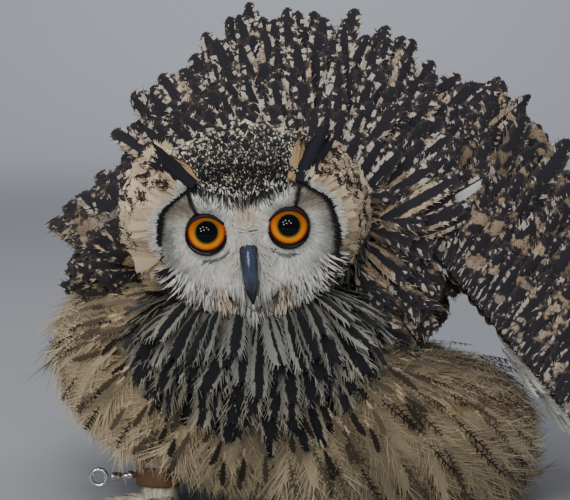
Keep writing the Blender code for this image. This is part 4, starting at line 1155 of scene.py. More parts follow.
@dataclass(frozen=True)
class VaneCut(Cut):
    """A feather as one vane: its grid, outline and bends."""

    rows: int = 8
    columns: int = 5
    camber: float = 0.20
    sweep: float = 0.35
    ragged: float = 0.10
    thickness: float = 0.0

    def shaped(self, roots: Roots, length: Array, width: Array, lift: Array, tint: Tint, mark: Array,
               rng: np.random.Generator, sunk: float, twist: float, chance: Optional[Array]) -> Surface:
        """The vanes, from the arguments of lay.

        A point at share v along and u across stands at root + direction * (length * v + sweep) + side * half
        width * u * outline(v) + normal * (camber * (1 - u^2) - curl * length * v^2). Torn edges and a bend to
        one side differ from feather to feather.
        """
        count, shape = len(roots), (len(roots), self.rows, self.columns)
        direction, side, normal = roots.turned(lift, np.radians(twist + rng.normal(0, 5, count)))
        v = np.linspace(0, 1, self.rows)[None, :, None]
        u = np.linspace(-1, 1, self.columns)[None, None, :]
        torn = 1 + self.ragged * rng.normal(size=shape) * np.abs(u)
        half = deep(width, 2) / 2 * curve(self.outline, v) * torn
        long = deep(length, 2)
        run = long * v - sunk + self.sweep * half * np.abs(u) * (1 - v**3) - 0.10 * half * u**2 * v**4
        frayed = self.ragged * 0.35 * deep(width, 2) * rng.normal(size=shape)
        run = run + frayed * np.abs(u) ** 3 * smooth(v, 0.1, 0.4)
        curl = deep(self.curl * (1 + 0.35 * rng.normal(size=count)), 2)
        lean = deep(self.bend * rng.normal(size=count), 2)
        high = self.camber * half * (1 - u**2) - curl * long * v**2
        wide = half * u + lean * long * v**2
        base = (deep(roots.points, 2) + deep(direction, 2) * run[..., None] + deep(side, 2) * wide[..., None]
                + deep(normal, 2) * high[..., None])
        chance = rng.random(count) * 0.99 if chance is None else chance
        layers = read_layers(roots, np.broadcast_to(u / 2 + 0.5, shape), v, tint, chance, mark)
        size, faces = self.rows * self.columns, grid_faces(self.rows, self.columns)
        if not self.thickness:
            return Surface(base.reshape(-1, 3), repeated(faces, count, size), *layers)
        thin = self.thickness * (1 - 0.75 * u**2) * (1 - 0.6 * v)
        both = np.stack([base, base - deep(normal, 2) * thin[..., None]], 1).reshape(-1, 3)
        solid = np.concatenate([faces, faces[:, ::-1] + size, self.rim()])
        doubled = [np.repeat(layer.reshape(count, 1, size, -1), 2, 1).reshape(count * 2 * size, -1).squeeze()
                   for layer in layers]
        return Surface(both, repeated(solid, count, 2 * size), *doubled)

    def rim(self) -> Array:
        """The faces that join a thick vane's upper and lower sides round its outline."""
        size = self.rows * self.columns
        index = np.arange(size).reshape(self.rows, self.columns)
        loop = np.concatenate([index[0], index[1:, -1], index[-1, -2::-1], index[-2:0:-1, 0]])
        after = np.roll(loop, -1)
        return np.stack([loop, loop + size, after + size, after], -1)


@dataclass(frozen=True)
class PlumeCut(Cut):
    """A loose feather: a web along the shaft, then single barbs out to both edges."""

    outline: Curve = ((0.0, 0.35), (0.35, 0.95), (0.65, 1.0), (0.90, 0.70), (1.0, 0.35))
    barbs: int = 18
    steps: int = 3
    web: float = 0.42
    rows: int = 7
    barb_width: float = 0.0008
    root_angle: float = 62.0
    tip_angle: float = 26.0
    curl: float = 0.30
    bend: float = 0.10
    droop: float = 0.25
    frizz: float = 0.14
    soft: float = 0.0
    cup: float = 0.30
    sunk: float = 0.002

    def shaped(self, roots: Roots, length: Array, width: Array, lift: Array, tint: Tint, mark: Array,
               rng: np.random.Generator, sunk: float, twist: float, chance: Optional[Array]) -> Surface:
        """The plumes, from the arguments of lay.

        The shaft is root + direction * length * v + side * bend * v^2 - normal * curl * length * v^2. A barb
        leaves it at share v and runs q along its own way, whose angle to the shaft closes from root to tip, and
        sags by droop * q^2. The web is the surface of all barbs up to q = web, and the rest are strips that
        narrow to their tips. Everything is shaded as one cupped vane, with the normal + direction * 2 * curl * v
        + side * cup * q, mixed with the body's own normal by the share soft.
        """
        count = len(roots)
        direction, side, normal = roots.turned(lift, math.radians(twist) + rng.normal(0, 0.20, count))
        curl = self.curl * (1 + 0.20 * rng.normal(size=count))
        lean = self.bend * rng.normal(size=count)
        chance = rng.random(count) * 0.99 if chance is None else chance

        def faced(v: Array, q: Array) -> Array:
            """Normals for shading at shares v of the shafts and signed shares q of the barbs."""
            more = v.ndim - 1
            bent = (2 * deep(curl, more) * v)[..., None] * deep(direction, more)
            bent = bent + (self.cup * q + 0 * v)[..., None] * deep(side, more)
            own = unit(deep(normal, more) + bent)
            return unit(own * (1 - self.soft) + deep(roots.out, more) * self.soft).reshape(-1, 3)

        def paths(v: Array, hand: float, q: Array, fray: Array, swing: Array) -> tuple[Array, Array]:
            """Points at shares q of the barbs that leave the shafts at shares v, and the barbs' ways."""
            ahead, aside, above = (deep(way, 1) for way in (direction, side, normal))
            long = length[:, None] * v
            lean_by, curl_by = ((deep(by, 1) * v)[..., None] for by in (lean, curl))
            bent = (aside * lean_by - above * curl_by) * long[..., None]
            start = deep(roots.points, 1) + ahead * (long - sunk)[..., None] + bent
            way = unit(ahead + 2 * aside * lean_by - 2 * above * curl_by)
            angle = np.radians(self.root_angle + (self.tip_angle - self.root_angle) * v) * swing
            run = unit(way * np.cos(angle)[..., None] + hand * aside * np.sin(angle)[..., None] + fray * 0.6)
            reach = width[:, None] / 2 * curve(self.outline, v) / np.sin(np.maximum(angle, 0.5)) * swing
            sag = 0.22 * way[:, :, None] - self.droop * deep(normal, 2) + 0.5 * fray[:, :, None]
            out_by, sag_by = ((reach[..., None] * by)[..., None] for by in (q, q**2))
            return start[:, :, None] + run[:, :, None] * out_by + sag * sag_by, run

        v = np.linspace(0, 1, self.rows) ** 0.85 * np.ones((count, 1))
        inner = np.array([0.0, 0.5, 1.0]) * self.web
        left, right = (paths(v, hand, inner, np.zeros((count, self.rows, 3)), np.ones_like(v))[0]
                       for hand in (-1.0, 1.0))
        web = np.concatenate([left[:, :, :0:-1], right], 2)
        signed = np.concatenate([-inner[:0:-1], inner])
        across = np.broadcast_to(0.5 + 0.5 * signed, web.shape[:-1])
        faces = repeated(grid_faces(self.rows, 5), count, self.rows * 5)
        v = v[:, :, None]
        parts = [Surface(web.reshape(-1, 3), faces, *read_layers(roots, across, v, tint, chance, mark),
                         faced(v + 0 * signed, signed))]
        q = np.linspace(self.web * 0.7, 1, self.steps)
        narrow = (self.barb_width / 2 * (1 - 0.80 * (q - q[0]) / (1 - q[0])))[:, None] * np.array([-1, 1])
        for hand in (-1.0, 1.0):
            shares = np.linspace(0.08, 0.985, self.barbs) + rng.normal(0, 0.25 / self.barbs, (count, self.barbs))
            v = np.clip(shares, 0.02, 0.99)
            fray = rng.normal(0, self.frizz, (count, self.barbs, 3))
            path, run = paths(v, hand, q, fray, 1 + 0.10 * rng.normal(size=v.shape))
            flat = unit(np.cross(run, normal[:, None] + rng.normal(0, 0.4, fray.shape)))
            strip = path[:, :, :, None] + flat[:, :, None, None] * narrow[None, None, :, :, None]
            signed = hand * q[None, None, :, None]
            across = np.broadcast_to(0.5 + 0.5 * signed, strip.shape[:-1])
            faces = repeated(grid_faces(self.steps, 2), count * self.barbs, self.steps * 2)
            v = v[:, :, None, None]
            shown = faced(v + np.zeros((1, 1, self.steps, 2)), signed)
            parts.append(Surface(strip.reshape(-1, 3), faces, *read_layers(roots, across, v, tint, chance, mark),
                                 shown))
        return joined(parts)


BRISTLE = VaneCut(rows=4, columns=2, outline=((0.0, 0.7), (0.4, 1.0), (0.8, 0.6), (1.0, 0.12)), curl=0.18, camber=0.0,
                  sweep=0.0, ragged=0.0, bend=0.10)
COVERT = PlumeCut(barbs=22, steps=2, web=0.84, rows=13, barb_width=0.0013, root_angle=46, tip_angle=40, curl=0.13,
                  bend=0.04, droop=0.20, frizz=0.05,
                  outline=((0.0, 0.35), (0.25, 0.90), (0.60, 1.0), (0.72, 0.95), (0.80, 0.85), (0.87, 0.70),
                           (0.93, 0.49), (0.97, 0.28), (1.0, 0.06)))
LINING = VaneCut(rows=6, columns=4, curl=0.04, ragged=0.14)
QUILL = VaneCut(rows=22, columns=7,
                outline=((0.0, 0.25), (0.16, 0.78), (0.50, 1.0), (0.80, 0.86), (0.94, 0.50), (1.0, 0.15)),
                camber=0.16, ragged=0.02, sweep=0.25, bend=0.0, thickness=0.0009)


# The sub-assemblies


def leg_stations(x: float, y: float, side: int, grow: float) -> list[tuple[Array, Array, Array]]:
    """Stations of a leg with the foot's pad, and of the foot's four toes.

    Args:
        x: the foot's place across.
        y: the foot's place along.
        side: -1 for the right foot and 1 for the left.
        grow: how much thicker than the bare foot they are.

    Returns:
        The middles, the half widths and the half heights of every tube's stations, the leg first.
    """
    heights = np.array([0.0035, 0.0175, 0.026, 0.038, 0.060])
    radii = np.array([0.0120, 0.0118, 0.0115, 0.0122, 0.0180]) + grow
    made = [(rows_of(x, y + 0.05 * (heights - 0.02), heights), rows_of(radii, 0, 0), rows_of(0, radii, 0))]
    reach = np.array([0.0, 0.20, 0.35, 0.52, 0.70, 0.86, 1.0, 1.06])
    size = TOE_RADIUS * np.array([1.0, 0.98, 1.04, 0.94, 0.97, 0.84, 0.70, 0.30])
    knuckles = np.array([0.0, 0.0003, 0.0004, 0.0, 0.0003, 0.0, 0.0, 0.0020])
    for angle, share in TOES.values():
        turn = math.radians(angle) * side
        out = np.array([math.sin(turn), -math.cos(turn), 0.0])
        centres = np.array([x, y, 0.0]) + out * (TOE_LENGTH * share * reach)[:, None]
        centres[:, 2] = size * 0.96 + knuckles
        made.append((centres, np.array([out[1], -out[0], 0.0]) * (size + grow)[:, None],
                     UP * (size * 0.96 + grow * 0.6)[:, None]))
    return made


@dataclass
class Skin:
    """One skin under all feathers: the body's forms set inside their outlines by the coat's depth and run together."""

    shop: Workshop
    voxel: float = 0.0026
    belly_depth: float = 0.017
    nodes: tuple[str, ...] = ("head", "neck", "breast", "torso", "back", "leg_left", "leg_right", "foot_left",
                              "foot_right")

    def forms(self) -> list[tuple[Array, Array]]:
        """Closed meshes of every form, as points and triangles."""
        ball = bmesh.new()
        bmesh.ops.create_icosphere(ball, subdivisions=5, radius=1.0)
        directions = unit(np.array([vertex.co[:] for vertex in ball.verts]))
        faces = np.array([[vertex.index for vertex in face.verts] for face in ball.faces])
        ball.free()
        depths = ((SKULL, 0.0035), (NECK, 0.008), (BREAST, 0.010), (BACK, 0.010), (BELLY, self.belly_depth),
                  (WRIST, 0.007), (TAIL_ROOT, 0.004))
        made = [(form.at(directions, -depth), faces) for form, depth in depths]
        made += [tube(*self.arm(wing)) for wing in (LEFT_WING, RIGHT_WING)]
        return made + [tube(*stations) for foot in FEET.values() for stations in leg_stations(*foot, -0.0012)]

    def arm(self, wing: Wing) -> tuple[Array, Array, Array]:
        """Stations of a wing's arm: a rounded bar along its leading edge."""
        s = np.linspace(0, 1, 7)
        swell = (1 - 0.25 * s)[:, None]
        return (wing.point(s, wing.depth * 0.42, 0), wing.chord(s) * (wing.depth / 2 - 0.004) * swell,
                wing.normal(s) * (wing.height / 2 - 0.0025) * swell)

    def tint(self, points: Array) -> Array:
        """The down's colour by region: buff on the belly, pale on the face and feet, dark elsewhere."""
        colour = np.tile([0.030, 0.023, 0.018], (len(points), 1))
        low = BELLY.holds(points, -self.belly_depth + 0.004)
        colour[low] = (0.16, 0.110, 0.062)
        colour[BREAST.holds(points, -0.006) | NECK.holds(points, -0.004)] = (0.20, 0.18, 0.15)
        local = HEAD.local(points)
        face = SKULL.holds(points, 0.004) & (local[:, 1] < 0.030)
        colour[face] = FaceMarkings().colours(local[face]) * 0.75
        colour[(points[:, 2] < 0.045) & ~low] = (0.42, 0.37, 0.29)
        return colour

    def build(self) -> None:
        """Joins the forms by a voxel remesh, smooths the joints and paints the regions."""
        parts = self.forms()
        starts = np.cumsum([0] + [len(points) for points, _ in parts[:-1]])
        faces = np.concatenate([own + start for (_, own), start in zip(parts, starts)])
        mesh = bpy.data.meshes.new("skin_forms")
        mesh.from_pydata(np.concatenate([points for points, _ in parts]).tolist(), [], faces.tolist())
        raw = self.shop.add("skin_forms", mesh)
        remesh = raw.modifiers.new("one_skin", "REMESH")
        remesh.mode, remesh.voxel_size = "VOXEL", self.voxel
        settle = raw.modifiers.new("settled", "SMOOTH")
        settle.factor, settle.iterations = 0.5, 4
        done = bpy.data.meshes.new_from_object(raw.evaluated_get(bpy.context.evaluated_depsgraph_get()))
        points = np.empty(len(done.vertices) * 3, dtype=np.float32)
        done.vertices.foreach_get("co", points)
        points = points.reshape(-1, 3).astype(float)
        done.calc_loop_triangles()
        triangles = np.empty(len(done.loop_triangles) * 3, dtype=np.int32)
        done.loop_triangles.foreach_get("vertices", triangles)
        bpy.data.objects.remove(raw)
        surface = Surface(points, triangles.reshape(-1, 3), tint=self.tint(points))
        self.shop.make("skin", surface, SkinFinish(), Slot.BUFF, self.nodes)


@dataclass(frozen=True)
class FaceMarkings:
    """The face's colours by place, in the head's frame and in metres: x across and z above the eyes."""

    rim: Curve = ((-0.046, 0.043), (-0.040, 0.047), (-0.032, 0.050), (-0.024, 0.0505), (-0.014, 0.0525),
                  (-0.003, 0.0533), (0.007, 0.0515), (0.013, 0.0500), (0.018, 0.0465), (0.022, 0.0415),
                  (0.027, 0.0335))
    chin: Curve = ((0.0, -0.0490), (0.006, -0.0440), (0.013, -0.0390), (0.0225, -0.0400), (0.0315, -0.0380),
                   (0.0405, -0.0325), (0.048, -0.0255))
    white: Colour = (0.62, 0.61, 0.555)
    grey: Colour = (0.36, 0.355, 0.325)
    buff: Colour = (0.42, 0.28, 0.15)
    temple: Colour = (0.27, 0.22, 0.165)
    black: Colour = (0.010, 0.009, 0.010)

    def crown_line(self, x: Array) -> Array:
        """The height at which the crown's black begins."""
        return 0.0135 + 0.34 * np.abs(x)

    def beyond(self, local: Array) -> Array:
        """How far outside the black rim a place lies, below zero inside the disc."""
        return np.abs(local[:, 0]) - curve(self.rim, local[:, 2])

    def worn(self, local: Array) -> Array:
        """1 where the right side's rim is broken up into grey, at and below the height of the eye."""
        x, z = local[:, 0], local[:, 2]
        return smooth(-x, 0, 0.010) * smooth(-z, -0.001, 0.005) * (1 - smooth(-z, 0.028, 0.034))

    def hatching(self, local: Array) -> Array:
        """A wavering pattern of rays round the chin, from -1 to 1, about 2.5 mm from one to the next."""
        return np.sin(np.arctan2(local[:, 0], -local[:, 2] - 0.010) * 105 + 2.2 * ripple(local, 0.007, 14))

    def colours(self, local: Array) -> Array:
        """Colours at places of the face, laid over one another from the disc's grey to the crown's black."""
        x, z = local[:, 0], local[:, 2]
        side, off = np.abs(x), self.beyond(local)
        eye, turn = np.hypot(side - EYE_HALF_SPAN, z), np.arctan2(z, side - EYE_HALF_SPAN)
        white, grey, buff = np.array(self.white), np.array(self.grey), np.array(self.buff)
        temple, black = np.array(self.temple), np.array(self.black)
        colour = mixed(smooth(eye, 0.015, 0.030) * 0.75, white * 0.88, grey)
        rays = np.clip(ripple(rows_of(turn * 0.030, eye * 0.10, 0), 0.0036, 9), 0, 1)
        colour = colour * (1 - 0.60 * rays * smooth(eye, 0.015, 0.022) * (1 - smooth(z, 0, 0.008)))[:, None]
        line = curve(self.chin, side) + 0.0025 + 0.0040 * smooth(side, 0.014, 0.022)
        webs = mixed(bump_at(side, 0.016, 0.008) * 0.6, white * 0.80, buff * 1.15)
        hatched = mixed(smooth(self.hatching(local), 0.10, 0.50), webs, black * 2)
        rim = bump_at(off, 0, 0.0019, 4) * smooth(z, -0.049, -0.040) * (1 - smooth(z, 0.027, 0.030))
        rim = rim * (1 - 0.85 * self.worn(local))
        layers = (
            (bump_at(side, 0.017, 0.014) * bump_at(z, -0.030, 0.011), white * 0.90),
            (bump_at(side, 0.030, 0.016) * bump_at(z, -0.036, 0.007) * 0.8, white * 0.84),
            (bump_at(side, 0.0095, 0.005) * bump_at(z, -0.012, 0.016), white * 1.04),
            (bump_at(off, -0.0040, 0.0060) * (1 - smooth(z, 0, 0.012)) * 0.80, grey * 0.42),
            (smooth(side, 0.0295, 0.0345) * smooth(z, 0.005, 0.012) * 0.85, temple),
            (bump_at(z, 0.0090 + 0.75 * side, 0.0060) * (1 - smooth(side, 0.029, 0.034)) * smooth(side, 0.002, 0.008),
             white * 1.25),
            (bump_at(side, 0, 0.0090) * bump_at(z, 0.0105, 0.0040) * 0.75, buff),
            (bump_at(side, 0.016, 0.008) * bump_at(z, -0.0480, 0.0040) * 0.8, buff * 1.05),
            (smooth(line - z, 0, 0.0020), hatched),
            (bump_at(z, line, 0.0013) * (1 - smooth(side, 0.016, 0.024)) * 0.9, black * 2),
            (smooth(off, 0.0008, 0.0022) * smooth(z, -0.014, -0.002), white * 1.10),
            (smooth(off, 0.0008, 0.0030) * (1 - smooth(z, -0.014, -0.002)), buff),
            (rim, black),
            (bump_at(side, 0.0300 + 0.25 * (z - 0.0125), 0.0017, 4) * smooth(z, 0.0095, 0.0125), black),
            # painted shade: a dark line in the crease under each eye
            (bump_at(eye, 0.0168, 0.0010) * smooth(-z, 0.008, 0.011) * (1 - smooth(side, 0.026, 0.031)) * 0.5,
             grey * 0.3),
            (bump_at(eye, 0.0120, 0.0008), black * 2),
        )
        for share, layer in layers:
            colour = mixed(np.clip(share, 0, 1), colour, layer)
        flecked = z - self.crown_line(x) + 0.0035 * ripple(local, 0.0011, 12)
        return mixed(smooth(flecked, -0.0010, 0.0012), colour, black)


@dataclass
class Head:
    """The head's feathers: facial bristles, crown, ruff and the ear tufts."""

    shop: Workshop
    bristles: int = 62000
    fine: int = 190000
    cream: Colour = (0.50, 0.475, 0.40)
    tufts: tuple[tuple[str, int, Place, Place], ...] = (
        ("ear_tuft_right", -1, (-0.0330, 0.006, 0.0355), (-0.0575, 0.024, 0.0520)),
        ("ear_tuft_left", 1, (0.0356, 0.006, 0.0340), (0.0505, 0.030, 0.0610)))
    markings: FaceMarkings = field(default_factory=FaceMarkings)

    def face_flow(self, points: Array) -> Array:
        """The way the bristles lie: away from the nearer eye, down beside the bill and up on the forehead."""
        x, _, z = HEAD.local(points).T
        away = unit(rows_of(x - np.where(x < 0, -1, 1) * EYE_HALF_SPAN, 0, z))
        near = bump_at(x, 0, 0.011) * smooth(-z, -0.008, 0.004)
        above = bump_at(x, 0, 0.012) * smooth(z, -0.002, 0.010)
        down, up = unit(rows_of(x * 0.9, -0.006, -0.014)), unit(rows_of(x * 1.2, 0, 0.012))
        mix = away * (1 - np.maximum(near, above))[:, None] + down * near[:, None] + up * above[:, None]
        return HEAD.vectors(unit(mix))

    def outward(self, points: Array) -> Array:
        """Away from the middle of the face, and back."""
        x, _, z = HEAD.local(points).T
        return HEAD.vectors(unit(rows_of(x, 0, z + 0.004)) * 0.85 + np.array([0.0, 0.55, -0.12]))

    def make_face(self) -> None:
        """Short stiff bristles over the disc, shortest at the lids, and its raised black and white borders."""
        marks = self.markings
        roots = on_form(SKULL, self.bristles, -0.0022, self.face_flow, 3, shuffle=0.5)
        local = HEAD.local(roots.points)
        x, y, z = local.T
        eye, off = np.hypot(np.abs(x) - EYE_HALF_SPAN, z), marks.beyond(local)
        keep = (y < 0.034) & (eye > 0.0119) & (z < marks.crown_line(x) + 0.003) & (z > -0.054) & (off < -0.0012)
        keep &= ~((np.abs(x) < 0.0046) & (z < -0.0150) & (z > -0.040))
        roots, x, z, eye, off = roots.kept(keep), x[keep], z[keep], eye[keep], off[keep]
        rng = np.random.default_rng(5)
        beside = bump_at(x, 0, 0.010) * smooth(-z, -0.004, 0.006)
        cheek = bump_at(np.abs(x), 0.020, 0.013) * bump_at(z, -0.031, 0.010)
        length = (0.0034 + 0.0056 * smooth(eye, 0.014, 0.034)) * rng.normal(1, 0.22, len(roots)) * (1 + 0.45 * beside)
        length *= (1 - 0.50 * smooth(off, -0.012, -0.003)) * (1 - 0.30 * cheek)
        parts = [(roots, length, rng.normal(16 + 16 * beside - 9 * cheek, 5), 0.001, None)]
        dense = on_form(SKULL, self.fine, -0.0018, self.outward, 4, shuffle=0.5)
        local = HEAD.local(dense.points)
        x, y, z = local.T
        side, off, within = np.abs(x), marks.beyond(local), SKULL.within(x, z)
        eye, front, lot = np.hypot(side - EYE_HALF_SPAN, z), y < 0.034, rng.random(len(x))
        hatch, white = marks.hatching(local), tuple(0.72 * c for c in marks.white)
        border = (within > 0.84) & (within < 1.03) & (off < 0.003) & (z < -0.020)
        wavy = rng.normal(z, 0.004) > -0.005
        # each group: where its bristles stand, their length, rise, width and colour, and how they sweep, if at all:
        # the chin's dark lines run down and in, and whiskers down and out beside the bill
        groups = (
            ((np.abs(off) < 0.0008) & (z > -0.050) & (z < 0.028) & (lot > 0.95 * marks.worn(local)), 0.0030, 50,
             0.0011, marks.black, 0),
            ((off > 0.0009) & (off < 0.0034) & wavy & (z < 0.032), 0.0046, 36, 0.0010, white, 0),
            (border & (hatch > 0.45), 0.0076, 34, 0.0010, marks.black, 0),
            (border & (hatch < -0.1) & (lot < 0.5), 0.0080, 32, 0.0011, self.cream, 0),
            # dark grey bristles in the crease under each eye: painted shade
            ((np.abs(eye - 0.0168) < 0.0006) & (z < -0.009) & (side < 0.028) & (lot < 0.4), 0.0040, 12, 0.0008,
             (0.12, 0.12, 0.12), 0),
            ((np.abs(z + 0.0395 + 0.55 * (0.0150 - side)) < 0.0007) & (side < 0.0165) & (side > 0.003), 0.0064, 26,
             0.0009,
             marks.black, -1.3),
            ((side > 0.0042) & (side < 0.0085) & (z > -0.026) & (z < -0.003) & (lot < 0.30), 0.0125, 12, 0.0008,
             self.cream, 0.85),
        )
        for mask, size, rise, wide, shade, swept in groups:
            own = dense.kept(mask & front)
            if swept:
                hand = np.sign(HEAD.local(own.points)[:, 0])
                own.lie = square_to(own.out, HEAD.vectors(rows_of(swept * hand, 0, -0.70)))
            parts.append((own, size * rng.normal(1, 0.3, len(own)), rng.normal(rise, 9, len(own)), wide, shade))
        surfaces = []
        for k, (own, size, rise, wide, shade) in enumerate(parts):
            jitter = np.exp(0.15 * rng.normal(size=(len(own), 1)))
            if shade is None:
                # the tips carry the colour of the place that they reach
                reached = own.points + own.lie * size[:, None] * 0.6
                colour, tips = (marks.colours(HEAD.local(points)) for points in (own.points, reached))
            else:
                colour, tips = (np.tile(shade, (len(own), 1)) * share for share in (1.0, 1.1))
            surfaces.append(BRISTLE.lay(own, size, wide, rise, (colour * jitter * 0.9, tips * jitter), 0, 7 + k,
                                        0.001))
        self.shop.make("face_bristles", joined(surfaces), FeatherFinish("face_bristle", 0.7, barbs=0), Slot.PALE)

    def make_crown(self) -> None:
        """Small overlapping feathers from the brows over the crown to the nape, fewer and larger toward the nape."""
        def flow(points: Array) -> Array:
            """Up and back, spreading a little to the sides."""
            x, y, _ = HEAD.local(points).T
            return HEAD.vectors(rows_of(x * 9, 0.75, 0.75 - 8 * np.maximum(0, y - 0.02)))

        roots = on_form(SKULL, 9000, -0.0030, flow, 11)
        x, y, z = HEAD.local(roots.points).T
        above = z - self.markings.crown_line(x)
        keep = (above > -0.0015) & (np.abs(x) < 0.036 + 0.022 * smooth(y, 0, 0.04))
        keep |= (y > 0.030) & (z > -0.020)
        rng = np.random.default_rng(12)
        back = smooth(y, -0.002, 0.055)
        keep &= rng.random(len(x)) > 0.62 * back
        roots, back, low = roots.kept(keep), back[keep], 1 - smooth(above[keep], 0.002, 0.016)
        length = (0.0056 + 0.0120 * back) * rng.normal(1, 0.12, len(roots))
        tint = toward(shades(len(roots), (0.42, 0.36, 0.25), (0.56, 0.50, 0.38), 13, 0.20), low, 0.55, 0.62)
        cut = VaneCut(rows=6, curl=0.10, camber=0.25, ragged=0.12)
        marks = np.clip(rng.normal(0.36 + 0.64 * low + 0.52 * back, 0.12), 0, 1)
        surface = cut.lay(roots, length, length * 0.54, rng.normal(15 + 9 * back, 6), tint, marks, 14)
        self.shop.make("crown_feathers", surface, CrownFinish("crown_feather"), Slot.DARK)

    def make_ruff(self) -> None:
        """Loose rounded feathers round the face, buff and scaled above, streaked black and cream below it."""
        roots = on_form(SKULL, 7600, -0.0020, self.outward, 21)
        local = HEAD.local(roots.points)
        x, y, z = local.T
        keep = ((self.markings.beyond(local) > 0.0034) | (z < -0.049)) & (y < 0.075)
        keep &= (z < 0.016 + 0.55 * np.abs(x)) & (z > -0.062)
        keep &= ~((z > self.markings.crown_line(x) - 0.002) & (np.abs(x) < 0.033))
        roots, x, y, z = roots.kept(keep), x[keep], y[keep], z[keep]
        rng = np.random.default_rng(22)
        # painted shade: the ruff is darker toward the owl's left side
        behind, below, painted_shade = smooth(y, 0, 0.03), smooth(-z, 0.018, 0.046), 1 - 0.25 * smooth(x, -0.01, 0.03)[:, None]
        length = (0.0130 + 0.0040 * behind) * rng.normal(1, 0.12, len(roots))
        length *= 1 + 0.42 * smooth(-x, 0.035, 0.052) * (1 - below)
        lift = rng.normal(22 + 12 * behind, 5)
        root, tip = shades(len(roots), (0.52, 0.385, 0.24), (0.66, 0.52, 0.355), 23, 0.24)
        tint = toward((root * painted_shade, tip * painted_shade), below * 0.75, (0.32, 0.30, 0.25), (0.44, 0.42, 0.36))
        cut = replace(COVERT, barbs=11, web=0.80, rows=7, barb_width=0.0009, curl=0.20, bend=0.06, soft=0.25)
        streaked = rng.random(len(roots)) < below
        marks = np.where(streaked, rng.uniform(0.26, 0.42, len(roots)),
                         np.clip(rng.normal(0.27, 0.25, len(roots)), 0, 1))
        for name, mask, grown, finish in (("ruff", ~streaked, 1.0, ScaledFinish),
                                          ("collar", streaked, 1.25, StreakedFinish)):
            surface = cut.lay(roots.kept(mask), length[mask] * grown, length[mask] * 0.62, lift[mask],
                              (tint[0][mask], tint[1][mask]), marks[mask], 24)
            self.shop.make(name + "_feathers", surface, finish(name + "_feather", slant=0, lines=160), Slot.BUFF)

    def make_tufts(self) -> None:
        """Two ear tufts of long narrow black feathers swept back over the crown, with short buff ones inside."""
        cut = VaneCut(rows=10, columns=4, outline=((0.0, 0.5), (0.3, 1.0), (0.6, 0.9), (0.85, 0.55), (1.0, 0.12)),
                      curl=0.10)
        count = 30
        for name, hand, root, tip in self.tufts:
            left = hand > 0
            rng = np.random.default_rng(31 if left else 32)
            root, tip = np.array(root), np.array(tip)
            way = unit(tip - root)
            front = square_to(way, np.array([0.0, -1.0, 0.3]))
            side = np.cross(way, front)
            spread = rng.uniform(-1, 1, (count, 2))
            inner = spread[:, 0] * -hand > 0.30
            local = (root - way * 0.006 + side * (0.0054 if left else 0.0030) * spread[:, :1]
                     + front * (0.0022 * spread[:, 1:] - 0.001 * inner[:, None]))
            lie = unit(way + side * (rng.normal(0, 0.05, (count, 1)) + 0.09 * spread[:, :1]))
            out = square_to(lie, np.broadcast_to(front, lie.shape))
            roots = Roots(HEAD.points(local), HEAD.vectors(lie), HEAD.vectors(out),
                          np.clip(0.5 + 0.2 * spread, 0, 0.98))
            length = np.linalg.norm(tip - root) * rng.uniform(0.78, 1.20, count) * np.where(inner, 0.72, 1.0)
            tint = shades(count, (0.009, 0.009, 0.012), (0.011, 0.011, 0.015), 33, 0.2)
            for colours in tint:
                colours[inner] = (0.30, 0.20, 0.105)
            surface = cut.lay(roots, length, 0.0056 if left else 0.0048, 4 * spread[:, 1], tint,
                              np.where(inner, 0.5, 0), 34, 0.002)
            self.shop.make(name + "_feathers", surface, ScaledFinish(name + "_vane", 0.55, 0.3), Slot.DARK, (name,))

    def build(self) -> None:
        """Makes every feathered part of the head."""
        self.make_face()
        self.make_crown()
        self.make_ruff()
        self.make_tufts()


